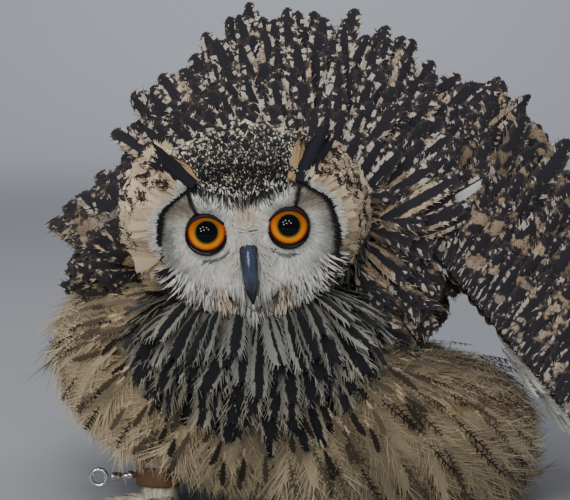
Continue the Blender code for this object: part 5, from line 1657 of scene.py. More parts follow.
@dataclass
class Eyes:
    """The two eyeballs and their black lids."""

    shop: Workshop
    gaze_at: Place = (0.0225, -1.0938, 0.3085)
    rings: int = 40
    sides: int = 64

    def make_ball(self, name: str, side: int) -> None:
        """An eyeball as a grid of rings about the gaze, closed at both poles.

        Args:
            name: the eye's name.
            side: -1 for the right eye and 1 for the left.
        """
        centre = HEAD.points(np.array([[side * EYE_HALF_SPAN, EYE_DEPTH, 0.0]]))[0]
        gaze = unit(np.array(self.gaze_at) - centre)
        across = unit(np.cross(gaze, UP))
        up = np.cross(across, gaze)
        angle, turn = np.linspace(0, math.pi, self.rings)[:, None], turns(self.sides)
        radius = EYE_RADIUS * (1 + 0.022 * bump_at(angle, 0, 0.72, 4) - 0.08 * smooth(angle, 1.02, 1.35))
        wide = radius * np.sin(angle)
        points = (centre + gaze * (radius * np.cos(angle))[..., None] + across * (wide * np.cos(turn))[..., None]
                  + up * (wide * np.sin(turn))[..., None])
        uv = 0.5 + angle / math.pi * np.stack([np.cos(turn), np.sin(turn)])[:, None]
        uv = np.moveaxis(uv, 0, -1).reshape(-1, 2)
        surface = Surface(points.reshape(-1, 3), grid_faces(self.rings, self.sides, closed=True)[:, ::-1], feather=uv)
        self.shop.make(name + "_ball", surface, IrisFinish(), Slot.EYE, (name,), weld=True)

    def make_lid(self, name: str, side: int) -> None:
        """A lid as a closed ring round the eye, a little flattened above and drawn out at the inner corner.

        Args:
            name: the eye's name.
            side: -1 for the right eye and 1 for the left.
        """
        steps, sides = 96, 12
        turn, around = turns(steps)[:, None], turns(sides)
        corner = lobe(turn, (math.pi if side > 0 else 0) - side * 0.25, 0.30)
        top = lobe(turn, math.pi / 2, 0.75)
        radius = 0.01205 + 0.0003 * top + 0.0013 * corner
        thick = 0.00062 + 0.0009 * top + 0.0006 * corner
        spread = radius + thick * np.cos(around)
        depth = -np.sqrt(np.maximum(EYE_RADIUS**2 - radius**2, 1e-8)) - 0.0004 + thick * 1.1 * np.sin(around)
        local = rows_of(side * EYE_HALF_SPAN + spread * np.cos(turn), EYE_DEPTH + depth, spread * np.sin(turn))
        surface = Surface(HEAD.points(local.reshape(-1, 3)), grid_faces(steps, sides, closed=True, ring=True))
        self.shop.make("lid_" + name, surface, LidFinish(), Slot.EYE)

    def build(self) -> None:
        """Makes both eyes."""
        for name, side in (("eye_right", -1), ("eye_left", 1)):
            self.make_ball(name, side)
            self.make_lid(name, side)


@dataclass
class Bill:
    """The hooked bill: the upper one over the lower one."""

    shop: Workshop
    horn: HornFinish = HornFinish("bill_horn", (0.022, 0.032, 0.062), (0.006, 0.007, 0.010), 0.26)
    sides: int = 28

    def build(self) -> None:
        """Makes both halves from the same curve as the solid's, with a ridge and more stations.

        Above its first full section the upper bill closes in a dome under the bristles, and the front of its
        section is drawn to a rounded edge.
        """
        share = np.concatenate([[-0.150, -0.146, -0.130, -0.100, -0.060, -0.025], np.linspace(0, 1, 26)])
        dome = np.sqrt(1 - (np.minimum(share, 0) / 0.151) ** 2)
        down = np.maximum(share, 0)
        bend = down * math.radians(78)
        back = -0.0085 - 0.0120 * np.sin(bend) + 0.0075 * down**3 - 0.010 * np.minimum(share, 0)
        centre = rows_of(0, back, -0.0085 - 0.0325 * share)
        half_width = (0.0050 * (1 - down**2.4) + 0.0006) * dome
        half_depth = (0.0062 * (1 - down**1.7) + 0.0007) * dome
        tilt = np.radians(16 + 62 * (1 - down))
        up = unit(rows_of(0, -np.sin(tilt), np.cos(tilt) * 0.35))
        turn = turns(self.sides)
        ridge, squeeze = 1 + 0.10 * lobe(turn, math.pi / 2, 0.45), 1 - 0.10 * lobe(turn, math.pi / 2, 0.9)
        rings = (centre[:, None] + X_WAY * (half_width[:, None] * np.cos(turn) * squeeze)[..., None]
                 + up[:, None] * (half_depth[:, None] * np.sin(turn) * ridge)[..., None])
        surface = horn_tube(centre, centre, centre, self.sides, down)
        surface.points = HEAD.points(np.concatenate([rings.reshape(-1, 3), centre[:1], centre[-1:]]))
        # the sides toward the base are darkened: the dark nostrils, and painted shade on the rounded sides
        nostrils_and_shade = smooth(np.abs(np.cos(turn)), 0.50, 0.90) * (1 - smooth(share, 0.10, 0.80))[:, None]
        surface.mark = np.concatenate([nostrils_and_shade.ravel(), [1.0, 0.0]])
        self.shop.make("upper_bill", surface, self.horn, Slot.BILL, ("bill_upper",), weld=True)
        share = np.linspace(0, 1, 12)
        centre = rows_of(0, -0.0010 - 0.0065 * share, -0.0265 - 0.0100 * share)
        across = rows_of(0.0050 - 0.0026 * share, 0, 0)
        up = np.array([0, -0.6, 0.8]) * (0.0034 - 0.0014 * share)[:, None]
        surface = horn_tube(HEAD.points(centre), HEAD.vectors(across), HEAD.vectors(up), 20, 0.3 + 0.6 * share)
        self.shop.make("lower_bill", surface, self.horn, Slot.BILL, ("bill_lower",), weld=True)


@dataclass
class Coat:
    """The body's loose feathers: bib, belly, flanks, rump and the nape."""

    shop: Workshop
    bib_middle: Place = (0.004, -0.085, 0.158)
    throat: Colour = (0.13, 0.15, 0.14)

    def from_bib(self, points: Array) -> Array:
        """The way belly plumes lie: away from the bib, and a little down."""
        return unit(points - np.array(self.bib_middle)) - 0.25 * UP

    def make_bib(self) -> None:
        """Long loose feathers that hang from the throat, pale with black streaks."""
        def flow(points: Array) -> Array:
            """Down, and out to the sides."""
            return rows_of((points[:, 0] - 0.004) * 8.0, -0.10, -1.0)

        def front(points: Array, out: Array) -> Array:
            """Only the front and sides, above the belly."""
            return (out[:, 1] < 0.25) & (points[:, 2] > 0.100) & ~SKULL.holds(points, -0.004)

        outline = ((0.0, 0.40), (0.30, 0.95), (0.60, 1.0), (0.75, 0.84), (0.86, 0.60), (0.94, 0.36), (1.0, 0.12))
        cut = PlumeCut(outline, 0.12, 0.07, barbs=20, web=0.74, rows=10, barb_width=0.0010, root_angle=38,
                       tip_angle=26, droop=0.12, frizz=0.06, soft=0.3)
        layers = []
        for form, count, grow, seed in ((BREAST, 430, -0.006, 41), (NECK, 640, -0.003, 42)):
            roots = on_form(form, count, grow, flow, seed, front)
            rng = np.random.default_rng(seed)
            x, _, z = roots.points.T
            low, throat = 1 - smooth(z, 0.105, 0.150), bump_at(x, 0.004, 0.024) * smooth(z, 0.125, 0.145) * 0.6
            length = (0.038 + 0.009 * low) * rng.normal(1, 0.12, len(roots))
            length *= (1 - 0.25 * smooth(np.abs(x - 0.004), 0.03, 0.07)) * (1 - 0.30 * smooth(z, 0.165, 0.200))
            # the roots, far darker than the tips, are partly painted shade between the overlapping feathers
            tint = shades(len(roots), (0.10, 0.098, 0.080), (0.235, 0.225, 0.185), seed + 1, 0.30)
            tint = toward(tint, low * 0.55, (0.12, 0.10, 0.063), (0.23, 0.19, 0.125))
            tint = toward(tint, throat, self.throat, self.throat)
            mark = np.where(rng.random(len(roots)) < 0.97 - 0.12 * throat, rng.uniform(0.34, 0.66, len(roots)), 0.14)
            layers.append(cut.lay(roots, length, 0.0150, rng.normal(15, 5, len(roots)), tint, mark, seed + 2))
        self.shop.make("bib_feathers", joined(layers), StreakedFinish("bib_feather", slant=0.0, lines=220.0),
                       Slot.PALE)

    def belly_tint(self, points: Array, seed: int) -> Tint:
        """Buff and warmer on the sides; painted shade makes it darker and greyer below and darker on the left; the
        pale woolly tips at the edges are partly painted light.

        Args:
            points: where the plumes show.
            seed: for the small differences between them.

        Returns:
            The colours at root and tip.
        """
        x, _, z = points.T
        root, tip = shades(len(points), (0.41, 0.315, 0.190), (0.50, 0.400, 0.255), seed, 0.10)
        low, edge = 1 - smooth(z, 0.015, 0.070), smooth(np.abs(x - 0.028), 0.12, 0.17)
        # painted shade: darker toward the owl's left side and, more, low on the belly, where the colours also turn
        # greyer
        painted_shade = (1 - 0.20 * smooth(x, 0.030, 0.100) - 0.55 * low)[:, None]
        # the pale tips on the flanks are partly painted light glowing through the fuzzy outline
        tip = mixed(0.6 * low, tip, np.array([0.30, 0.285, 0.185]))
        return (mixed(0.5 * low, root, np.array([0.21, 0.200, 0.130])) * painted_shade,
                mixed(0.5 * edge, tip, np.array([0.62, 0.55, 0.42])) * painted_shade)

    def bare(self, points: Array, out: Array) -> Array:
        """The belly's skin that isn't under the other forms or on the sole of the body."""
        inside = BREAST.holds(points, -0.016) | NECK.holds(points, -0.016) | BACK.holds(points, -0.006)
        return ~inside & (points[:, 2] > 0.019)

    def make_belly(self) -> None:
        """Thousands of loose plumes, in several pieces by where they grow."""
        def turned(roots: Roots) -> Array:
            """How far round the body from its front each root lies."""
            return np.arctan2(roots.points[:, 0] - 0.028, -(roots.points[:, 1] - 0.020))

        roots = on_form(BELLY, 5200, -0.017, self.from_bib, 51, self.bare)
        rng = np.random.default_rng(52)
        # thinner behind, where fewer are seen
        roots = roots.kept((np.abs(turned(roots)) < 1.75) | (rng.random(len(roots)) < 0.6))
        roots = roots.kept(BELLY.holds(roots.points + roots.lie * 0.036, 0.002))
        part = np.searchsorted(np.quantile(turned(roots), [0.25, 0.5, 0.75]), turned(roots))
        cut = PlumeCut(barbs=26, steps=2, web=0.26, rows=6, barb_width=0.00055, frizz=0.16, bend=0.12, droop=0.12,
                       soft=0.94)
        for k, label in enumerate(("back_right", "front_right", "front_left", "back_left")):
            own = roots.kept(part == k)
            rng = np.random.default_rng(53 + k)
            length = 0.050 * rng.normal(1, 0.14, len(own)) * (1 - 0.30 * (1 - smooth(own.points[:, 2], 0.020, 0.045)))
            lift = rng.normal(settled(own, length, cut.curl, BELLY, 0.010, high=9.0), 2.0)
            # those that would still stand off the body are pressed on to it, or left out
            lift = np.where(BELLY.holds(own.tips(length, lift, cut.curl), -0.004), lift, lift - 16.0)
            flat = BELLY.holds(own.tips(length, lift, cut.curl), 0.003)
            own, length, lift = own.kept(flat), length[flat], lift[flat]
            tint = self.belly_tint(own.points + own.lie * 0.035, 57 + k)
            self.shop.make("belly_plumes_" + label, cut.lay(own, length, 0.028, lift, tint, 0.0, 61 + k),
                           PlumeFinish("belly_plume", slant=0.0, lines=420.0, barbs=0.6), Slot.BUFF)

    def make_bars(self) -> None:
        """Marked plumes laid over the belly: narrow ones far from the bib, wider ones near it."""
        outline = ((0.0, 0.30), (0.30, 0.40), (0.50, 0.85), (0.75, 1.0), (0.92, 0.75), (1.0, 0.30))
        cut = PlumeCut(outline, 0.14, 0.10, barbs=12, barb_width=0.0013, frizz=0.06, root_angle=74, tip_angle=56,
                       rows=9, soft=0.75)
        layers = []
        for count, grow, size, width, web, near, far, seed in ((620, -0.006, 0.040, 0.0080, 0.13, 0.090, 0.30, 66),
                                                               (900, -0.004, 0.026, 0.0062, 0.52, 0.0, 0.112, 67)):
            own = on_form(BELLY, count, grow, self.from_bib, seed, self.bare)
            away = np.linalg.norm(own.points - np.array(self.bib_middle), axis=1)
            ahead = own.points[:, 1] + 0.9 * np.maximum(own.points[:, 2] - 0.095, 0) < 0.020
            own = own.kept(ahead & (away > near) & (away < far) & BELLY.holds(own.points + own.lie * size, 0.006))
            rng = np.random.default_rng(seed)
            length = size * rng.normal(1, 0.16, len(own))
            lift = settled(own, length, cut.curl, BELLY, 0.0010, -30.0, 14.0)
            flat = BELLY.holds(own.tips(length, lift, cut.curl), 0.002)
            own, length, lift = own.kept(flat), length[flat], lift[flat]
            tint = self.belly_tint(own.points + own.lie * size * 0.6, 68)
            mark = np.clip(rng.normal(0.92, 0.10, len(own)), 0, 1)
            layers.append(replace(cut, web=web).lay(own, length, width, lift, tint, mark, seed + 2))
        finish = PlumeFinish("barred_plume", slant=0.0, lines=420.0, barbs=0.3)
        self.shop.make("belly_barred_plumes", joined(layers), finish, Slot.BUFF)

    def make_rump(self) -> None:
        """Medium feathers over the back behind the fan, the flanks and the nape, lying toward the tail."""
        def flow(points: Array) -> Array:
            """Toward the tail and down."""
            return rows_of((points[:, 0] - 0.040) * 2.0, 0.8, -0.55)

        def seen(points: Array, out: Array) -> Array:
            """The back outside the other forms."""
            inside = BELLY.holds(points, -0.012) | NECK.holds(points, -0.004) | BREAST.holds(points)
            return ~(inside | SKULL.holds(points, -0.004)) & (points[:, 2] > 0.085)

        def behind(points: Array, out: Array) -> Array:
            """The neck behind the head and above the back."""
            inside = SKULL.holds(points, -0.002) | BACK.holds(points, -0.006)
            return (out[:, 1] > -0.2) & ~inside & (points[:, 2] > 0.15)

        spotted = SpottedFinish("rump_feather", slant=0.0, middle=0.26, web_from=7.0, webs=0.75, swept=6.0)
        streaked = StreakedFinish("nape_feather", slant=0.0)
        cut = replace(COVERT, barbs=10, rows=8, web=0.78, frizz=0.08, curl=0.16)
        for name, own, length, lift, seed, finish in (
                ("rump_feathers", on_form(BACK, 1500, -0.008, flow, 71, seen), 0.034, 24, 73, spotted),
                ("nape_feathers", on_form(NECK, 700, -0.006, flow, 72, behind), 0.030, 34, 74, streaked)):
            rng = np.random.default_rng(seed)
            size = length * rng.normal(1, 0.15, len(own))
            tint = shades(len(own), (0.22, 0.16, 0.095), (0.31, 0.24, 0.155), seed + 2, 0.22)
            marks = size * 10 if finish is spotted else rng.uniform(0.16, 0.42, len(own))
            surface = cut.lay(own, size, size * 0.48, rng.normal(lift, 6, len(own)), tint, marks, seed + 4)
            self.shop.make(name, surface, finish, Slot.DARK)

    def make_feet(self) -> None:
        """Short pale feathers down the legs and over the toes, short of the claws."""
        parts = []
        for x, y, side in FEET.values():
            for k, stations in enumerate(leg_stations(x, y, side, -0.0008)):
                rng = np.random.default_rng(80 + k + 10 * (side + 1))
                count = 1500 if k else 2600
                t = rng.random(count) * (len(stations[0]) - 1.35)
                low, turn = t.astype(int), rng.random(count) * 2 * math.pi
                middle, wide, tall = (mixed(t - low, part[low], part[low + 1]) for part in stations)
                off = wide * np.cos(turn)[:, None] + tall * np.sin(turn)[:, None]
                way = unit(stations[0][-1] - stations[0][0]) if k else np.array([0.0, -0.25, -1.0])
                out = unit(off)
                lie = square_to(out, np.broadcast_to(way, out.shape) - 0.15 * UP)
                roots = Roots(middle + off, lie, out, rows_of(turn / 6.3, t / len(stations[0])))
                roots = roots.kept(roots.points[:, 2] > 0.0042)
                tint = shades(len(roots), (0.40, 0.35, 0.27), (0.60, 0.55, 0.46), 90 + k, 0.14)
                low_down = smooth(roots.points[:, 2], 0.004, 0.009)
                size = (0.0068 if k else 0.0085) * rng.normal(1, 0.2, len(roots)) * (0.6 + 0.4 * low_down)
                parts.append(replace(BRISTLE, rows=3).lay(roots, size, 0.0017, 16 * low_down + 3, tint, 0.0, 95 + k,
                                                          0.001))
        self.shop.make("leg_feathers", joined(parts), FeatherFinish("leg_feather", 0.8, barbs=0.2), Slot.PALE)

    def build(self) -> None:
        """Makes every part of the coat."""
        self.make_bib()
        self.make_belly()
        self.make_bars()
        self.make_rump()
        self.make_feet()


@dataclass
class Fan:
    """The raised feathers of the back, in rows that stand out round an axis along the body and lean back.

    A row has its place along the body, radius, tilt, length, and first and last angle, in metres and degrees.
    """

    shop: Workshop
    axis: Place = (0.033, 0.0, 0.167)
    rows: tuple[tuple[float, ...], ...] = ((-0.020, 0.056, 12, 0.052, -56, 76), (0.004, 0.078, 20, 0.058, -50, 60),
                                           (0.030, 0.088, 27, 0.072, -84, 60), (0.056, 0.091, 33, 0.100, -94, 64),
                                           (0.084, 0.088, 42, 0.114, -90, 64), (0.110, 0.076, 58, 0.096, -70, 56))
    pale_webs: Curve = ((-15.6, 2.6), (58.0, 1.5), (69.0, 0.7))
    reach: Curve = ((-92, 0.72), (-80, 0.76), (-68, 0.80), (-57, 0.90), (-48, 0.90), (-41, 0.92), (-27, 0.96),
                    (-12, 1.00), (0, 1.02), (11, 1.00), (20, 0.97), (26, 1.03), (34, 0.95), (42, 1.06), (50, 1.18),
                    (60, 1.34))
    finish: SpottedFinish = SpottedFinish("fan_feather", slant=0.0, webs=0.50, web_from=14.0, broken=0.9, spot=0.43)

    def at(self, row: Array, column: int) -> Array:
        """One column of the table of rows, read between its rows where a place falls there."""
        return np.interp(row, np.arange(len(self.rows)), np.array(self.rows)[:, column])

    def build(self) -> None:
        """Fills in rows between the solid's rows, lays their feathers, and adds the few with a pale outer web."""
        parts = []
        for row, t in enumerate(np.linspace(0, len(self.rows) - 1, 14)):
            rng = np.random.default_rng(100 + row)
            first, last, radius = (self.at(t, column) for column in (4, 5, 1))
            count = int((last - first) / 3.5 * (0.55 + 0.45 * radius / 0.091))
            angle = rng.normal(np.linspace(first, last, count), 1.3) + 2.0 * (row % 2)
            parts.append(self.lay(angle, np.full(count, t), rng, 120 + row))
        angle, row = np.array(self.pale_webs).T
        parts.append(self.lay(angle, row, np.random.default_rng(119), 160, np.ones(len(row)), 0.006))
        self.shop.make("fan_feathers", joined(parts), self.finish, Slot.DARK)

    def lay(self, angle: Array, row: Array, rng: np.random.Generator, seed: int, chance: Optional[Array] = None,
            forward: float = 0.0) -> Surface:
        """Lays feathers that start at axis + outward * radius and run outward, leaning back by the row's tilt.

        Args:
            angle: how far round the axis each stands, in degrees.
            row: their places between the table's rows.
            rng: for what differs from feather to feather.
            seed: for their shades and shapes.
            chance: the number that makes each feather's pattern its own.
            forward: how far ahead of their rows they start.

        Returns:
            One surface with every feather.
        """
        count, turn, back = len(angle), np.radians(angle), np.array([0.0, 1.0, 0.0])
        y, radius, tilt, length = (self.at(row, column) for column in range(4))
        out = rows_of(np.sin(turn), 0, np.cos(turn))
        lean = np.radians(rng.normal(tilt, 5))[:, None]
        way, face = out * np.cos(lean) + back * np.sin(lean), out * np.sin(lean) - back * np.cos(lean)
        points = np.array(self.axis) + out * (radius * (1 - 0.05 * rng.random(count)))[:, None] + face * forward
        points[:, 1] += rng.normal(y, 0.003)
        size = length * curve(self.reach, angle) * rng.normal(1, 0.05, count)
        roots = Roots(points, way, face, rows_of(turn / math.pi + 0.5, 0.1 + 0.15 * row))
        width = (0.019 - 0.004 * (1 - smooth(row, 0.5, 3.0))) * rng.normal(1, 0.08, count)
        lit = (0.95 + 0.35 * smooth(-angle, 15, 50))[:, None]
        tint = tuple(colour * lit for colour in shades(count, (0.34, 0.245, 0.15), (0.44, 0.335, 0.225), seed, 0.24))
        return COVERT.lay(roots, size, width, 0.0, tint, size * 10, seed + 20, 0.010, chance=chance)


@dataclass(frozen=True)
class Tier:
    """One tier of wing feathers: place behind the edge, height, raise, length, width, count and spread in degrees."""

    behind: float
    above: float
    raised: float
    length: float
    width: float
    count: int
    spread: tuple[float, float] = (-22.0, 30.0)


@dataclass
class Wings:
    """Both wings: flight feathers below, then tiers of coverts, each shorter and raised more than the last."""

    shop: Workshop
    left: tuple[Tier, ...] = (
        Tier(0.036, 0.003, 32, 0.138, 0.034, 15), Tier(0.030, 0.005, 42, 0.112, 0.030, 17),
        Tier(0.023, 0.006, 46, 0.088, 0.027, 19), Tier(0.017, 0.007, 50, 0.070, 0.024, 22),
        Tier(0.011, 0.007, 54, 0.055, 0.021, 25), Tier(0.005, 0.006, 58, 0.043, 0.018, 29),
        Tier(0.000, 0.004, 50, 0.032, 0.015, 34), Tier(-0.002, 0.002, 34, 0.024, 0.012, 40))
    right: tuple[Tier, ...] = (
        Tier(0.036, 0.003, 24, 0.104, 0.034, 9), Tier(0.030, 0.005, 36, 0.088, 0.030, 10),
        Tier(0.022, 0.006, 42, 0.074, 0.026, 11), Tier(0.014, 0.006, 50, 0.060, 0.023, 12),
        Tier(0.006, 0.005, 58, 0.047, 0.020, 14), Tier(0.000, 0.004, 48, 0.034, 0.015, 16),
        Tier(-0.002, 0.002, 34, 0.025, 0.012, 18))
    barred: BarredFinish = BarredFinish("flight_feather")
    spotted: SpottedFinish = SpottedFinish("covert_feather", slant=0.0, webs=0.85, web_from=6.0, pitch=4.6,
                                           across_cells=5.5, swept=7.0, broken=1.0, blotched=1.0,
                                           pale=(0.38, 0.35, 0.31))

    def roots(self, wing: Wing, s: Array, tier: Tier, flip: float = 1.0) -> Roots:
        """Roots of a tier on the arm.

        Args:
            wing: the wing's bony edge.
            s: shares of the arm's length.
            tier: the tier.
            flip: 1 for the wing's upper side and -1 for the lower.

        Returns:
            The roots.
        """
        spread = np.radians(tier.spread[0] + tier.spread[1] * s)[:, None]
        flat = unit(wing.chord(s) * np.cos(spread) + wing.along(s) * np.sin(spread))
        return Roots(wing.point(s, tier.behind, tier.above * flip), flat, square_to(flat, wing.normal(s) * flip),
                     rows_of(0.05 + 0.9 * s, 0.2 + 6 * (tier.behind + 0.01)))

    def doubled(self, tiers: Sequence[Tier]) -> list[Tier]:
        """The tiers with one more between each two, and a third more feathers in each."""
        table = np.array([(t.behind, t.above, t.raised, t.length, t.width, t.count) for t in tiers])
        place = np.linspace(0, len(table) - 1, 2 * len(table) - 1)
        *sizes, counts = (np.interp(place, np.arange(len(table)), column) for column in table.T)
        return [Tier(*row, int(count * 1.35)) for *row, count in zip(*sizes, counts)]

    def make_arm(self, name: str, wing: Wing, tiers: Sequence[Tier], quills: Tier, twist: float, seed: int) -> None:
        """The secondaries as thin solid feathers, and the coverts over and under them.

        Args:
            name: left or right.
            wing: the wing's bony edge.
            tiers: the coverts on its upper side, from the longest to the shortest.
            quills: the secondaries.
            twist: how far the secondaries are turned about their shafts, in degrees.
            seed: for what differs from feather to feather.
        """
        arm = "wing_" + name + "_arm"
        s = (np.arange(quills.count) + 0.4) / quills.count
        cut = replace(QUILL, outline=((0.0, 0.25), (0.18, 0.80), (0.55, 1.0), (0.86, 0.90), (0.96, 0.60), (1.0, 0.25)),
                      curl=0.06, bend=0.02, thickness=0.0008)
        tint = shades(len(s), (0.30, 0.20, 0.115), (0.26, 0.18, 0.11), seed, 0.10)
        surface = cut.lay(self.roots(wing, s, quills), quills.length * (1.07 - 0.17 * s), quills.width, quills.raised,
                          tint, 0.5, seed + 1, 0.012, twist)
        self.shop.make(arm + "_quills", surface, self.barred, Slot.DARK, (arm,))
        coverts, lining, tiers = [], [], self.doubled(tiers)
        for row, tier in enumerate(tiers):
            rng = np.random.default_rng(seed + 10 + row)
            s = (np.arange(tier.count) + 0.3 + 0.5 * (row % 2)) / tier.count
            s = np.clip(rng.normal(s, 0.12 / tier.count), 0, 1)
            tint = shades(tier.count, (0.21, 0.145, 0.085), (0.27, 0.20, 0.13), seed + 20 + row, 0.24)
            tint = toward(tint, smooth(row, len(tiers) - 6.0, len(tiers) - 1.0) * 0.25, 0.50, 0.60)
            cut = COVERT if tier.length > 0.05 else replace(COVERT, barbs=14, rows=8)
            length = tier.length * (1.07 - 0.17 * s) * rng.normal(1, 0.06, tier.count)
            length *= 1.0 if name == "left" else 0.86
            lift = rng.normal(tier.raised, 4, tier.count)
            coverts.append(cut.lay(self.roots(wing, s, tier), length, tier.width * 0.74, lift, tint, length * 10,
                                   seed + 40 + row, 0.06 * tier.length))
        self.shop.make(arm + "_coverts", joined(coverts), self.spotted, Slot.DARK)
        count = int(26 * quills.count / 14)
        for row, behind in enumerate(np.linspace(0.007, wing.depth * 0.85, 6)):
            rng = np.random.default_rng(seed + 60 + row)
            s = np.clip(rng.normal((np.arange(count) + 0.5 * (row % 2)) / count, 0.01), 0, 1)
            roots = self.roots(wing, s, Tier(behind, 0.004, 0, 0.05, 0.02, count, (-4.0, 8.0)), -1.0)
            tint = shades(count, (0.36, 0.27, 0.17), (0.46, 0.37, 0.26), seed + 70 + row, 0.12)
            lining.append(LINING.lay(roots, 0.026 + 0.006 * row, 0.016, rng.normal(7, 3, count), tint, 0.15,
                                     seed + 80 + row))
        self.shop.make(arm + "_lining", joined(lining), ScaledFinish("wing_lining_" + name), Slot.BUFF)

    def make_edge(self) -> None:
        """Narrow whitish feathers along the left wing's leading edge, lying toward the wrist."""
        parts, cut = [], replace(COVERT, barbs=12, rows=7, web=0.45, curl=0.08, frizz=0.10, barb_width=0.0008)
        for row, (count, low, high) in enumerate(((20, 0.001, 0.46), (22, 0.005, 0.50))):
            rng = np.random.default_rng(390 + row)
            s = rng.normal(np.linspace(high, 1.0, count), 0.006)
            along, chord, normal = (way(s) for way in (LEFT_WING.along, LEFT_WING.chord, LEFT_WING.normal))
            aside, aloft = rng.normal(size=(count, 1)), rng.normal(size=(count, 1))
            lie = unit(along + 0.16 * aside * chord + 0.05 * aloft * normal)
            roots = Roots(LEFT_WING.point(s, -0.002, -low), lie, square_to(lie, -chord - 0.4 * normal),
                          rows_of(np.clip(s, 0, 1) * 0.9, 0.8 + 0.1 * row))
            tint = shades(count, (0.20, 0.19, 0.165), (0.37, 0.365, 0.33), 392 + row, 0.30)
            length = 0.025 * rng.normal(1, 0.15, count)
            parts.append(cut.lay(roots, length, 0.0062, rng.normal(8, 5, count), tint, 0.0, 394 + row))
        self.shop.make("wing_left_edge_feathers", joined(parts), FeatherFinish("edge_feather", slant=0.0), Slot.PALE)

    def make_wrist(self) -> None:
        """Small spotted feathers over the right wing's wrist, lying outward, down and back."""
        def flow(points: Array) -> Array:
            """Out to the side, back and a little down."""
            return np.broadcast_to([-0.85, 0.45, -0.15], points.shape)

        roots = on_form(WRIST, 190, -0.004, flow, 480, lambda points, out: out[:, 1] < 0.7)
        rng = np.random.default_rng(481)
        length = 0.023 * rng.normal(1, 0.14, len(roots))
        tint = shades(len(roots), (0.36, 0.26, 0.15), (0.44, 0.34, 0.22), 482, 0.2)
        cut, lift = replace(COVERT, barbs=12, rows=8), rng.normal(16, 6, len(roots))
        surface = cut.lay(roots, length, length * 0.52, lift, tint, length * 10, 483)
        self.shop.make("wing_right_wrist_feathers", surface, self.spotted, Slot.DARK)

    def left_hand(self) -> None:
        """The half spread left hand: ten primaries that fan outward, their coverts and the alula."""
        inner = LEFT_WING.chord(np.array([1.0]))[0]
        normal = square_to(inner, np.array([0.45, -0.38, 0.81]))
        outer = np.cross(inner, normal)
        wrist = LEFT_WING.point(np.array([1.0]), 0.016, 0.0)[0]
        bone = unit(inner + outer)

        def hand(share: Array, c: float, h: float, spread: float, lift: float) -> Roots:
            """Roots at shares of the way out along the hand."""
            turn, rise = np.radians(spread) * share[:, None], math.radians(lift)
            way = (inner * np.cos(turn) + outer * np.sin(turn)) * math.cos(rise) + normal * math.sin(rise)
            points = wrist + bone * (0.006 + 0.070 * share)[:, None] + inner * c + normal * h
            return Roots(points, way, square_to(way, np.broadcast_to(normal, way.shape)),
                         rows_of(0.02 + 0.9 * share, 0.5 + c))

        share = (np.arange(10) + 0.5) / 10
        tint = shades(10, (0.32, 0.21, 0.12), (0.24, 0.17, 0.11), 201, 0.06)
        length = 0.265 * (1 - 0.10 * np.abs(share - 0.7))
        roots, cut = hand(share, 0.010, 0.0, 28, 8), replace(QUILL, rows=26, curl=0.08)
        quills = cut.lay(roots, length, 0.034, 0.0, tint, 0.5, 202, 0.010, 12)
        self.shop.make("wing_left_hand_quills", quills, self.barred, Slot.DARK, ("wing_left_hand",))
        coverts, lining = [], []
        for row, (c, size, width, lift, count) in enumerate((
                (0.008, 0.094, 0.026, 20, 11), (0.004, 0.068, 0.022, 30, 13), (0.0, 0.048, 0.018, 38, 15),
                (-0.005, 0.034, 0.014, 32, 17), (-0.010, 0.024, 0.011, 20, 19))):
            rng = np.random.default_rng(210 + row)
            share = np.clip(rng.normal((np.arange(count) + 0.5 * (row % 2)) / count, 0.01), -0.1, 1.05)
            tint = shades(count, (0.32, 0.22, 0.13), (0.42, 0.32, 0.21), 220 + row, 0.18)
            cut = replace(COVERT, barbs=16, rows=9, curl=0.10)
            roots, length = hand(share, c, 0.004, 30, lift), size * rng.normal(1, 0.06, count)
            coverts.append(cut.lay(roots, length, width, 0.0, tint, size * 10, 230 + row, 0.06 * size))
        step = np.arange(3)
        thumb = hand(np.full(3, 0.9), -0.006, 0.006, 50, 18)
        thumb.points = wrist + bone * (0.013 + 0.005 * step)[:, None] - 0.006 * inner + 0.006 * normal
        tint = shades(3, (0.26, 0.18, 0.10), (0.20, 0.14, 0.09), 240, 0.1)
        coverts.append(replace(COVERT, curl=0.06).lay(thumb, 0.062 + 0.006 * step, 0.016, 0.0, tint, 0.5, 241))
        self.shop.make("wing_left_hand_coverts", joined(coverts), self.spotted, Slot.DARK)
        for row, c in enumerate((-0.008, 0.002, 0.012, 0.022)):
            roots = hand((np.arange(22) + 0.5 * (row % 2)) / 22, c, -0.004, 28, 4)
            roots.out = -roots.out
            tint = shades(22, (0.36, 0.27, 0.17), (0.46, 0.37, 0.26), 245 + row, 0.12)
            lining.append(LINING.lay(roots, 0.030 + 0.010 * row, 0.016, 5, tint, 0.15, 250 + row))
        self.shop.make("wing_left_hand_lining", joined(lining), ScaledFinish("hand_lining"), Slot.BUFF)

    def right_hand(self) -> None:
        """The folded right hand, whose primaries lie under the secondaries and pass their tips."""
        share = np.linspace(0, 1, 9)
        along, chord, normal = (way(np.array([0.9]))[0]
                                for way in (RIGHT_WING.along, RIGHT_WING.chord, RIGHT_WING.normal))
        points = RIGHT_WING.point(np.full(9, 0.84), 0.074 - 0.044 * share, -0.0155)
        points += along * (0.009 * (2 * share - 1))[:, None]
        turn = np.radians(-5 + 12 * share)[:, None]
        way = unit(chord * np.cos(turn) + along * np.sin(turn) - normal * 0.08)
        roots = Roots(points, way, square_to(way, np.broadcast_to(normal, way.shape)),
                      rows_of(0.1 + 0.8 * share, 0.4))
        tint = shades(9, (0.32, 0.21, 0.12), (0.24, 0.17, 0.11), 261, 0.06)
        surface = replace(QUILL, curl=0.05).lay(roots, 0.150 + 0.060 * share, 0.028, 0.0, tint, 0.5, 262, 0.010, -14)
        self.shop.make("wing_right_hand_quills", surface, self.barred, Slot.DARK, ("wing_right_hand",))

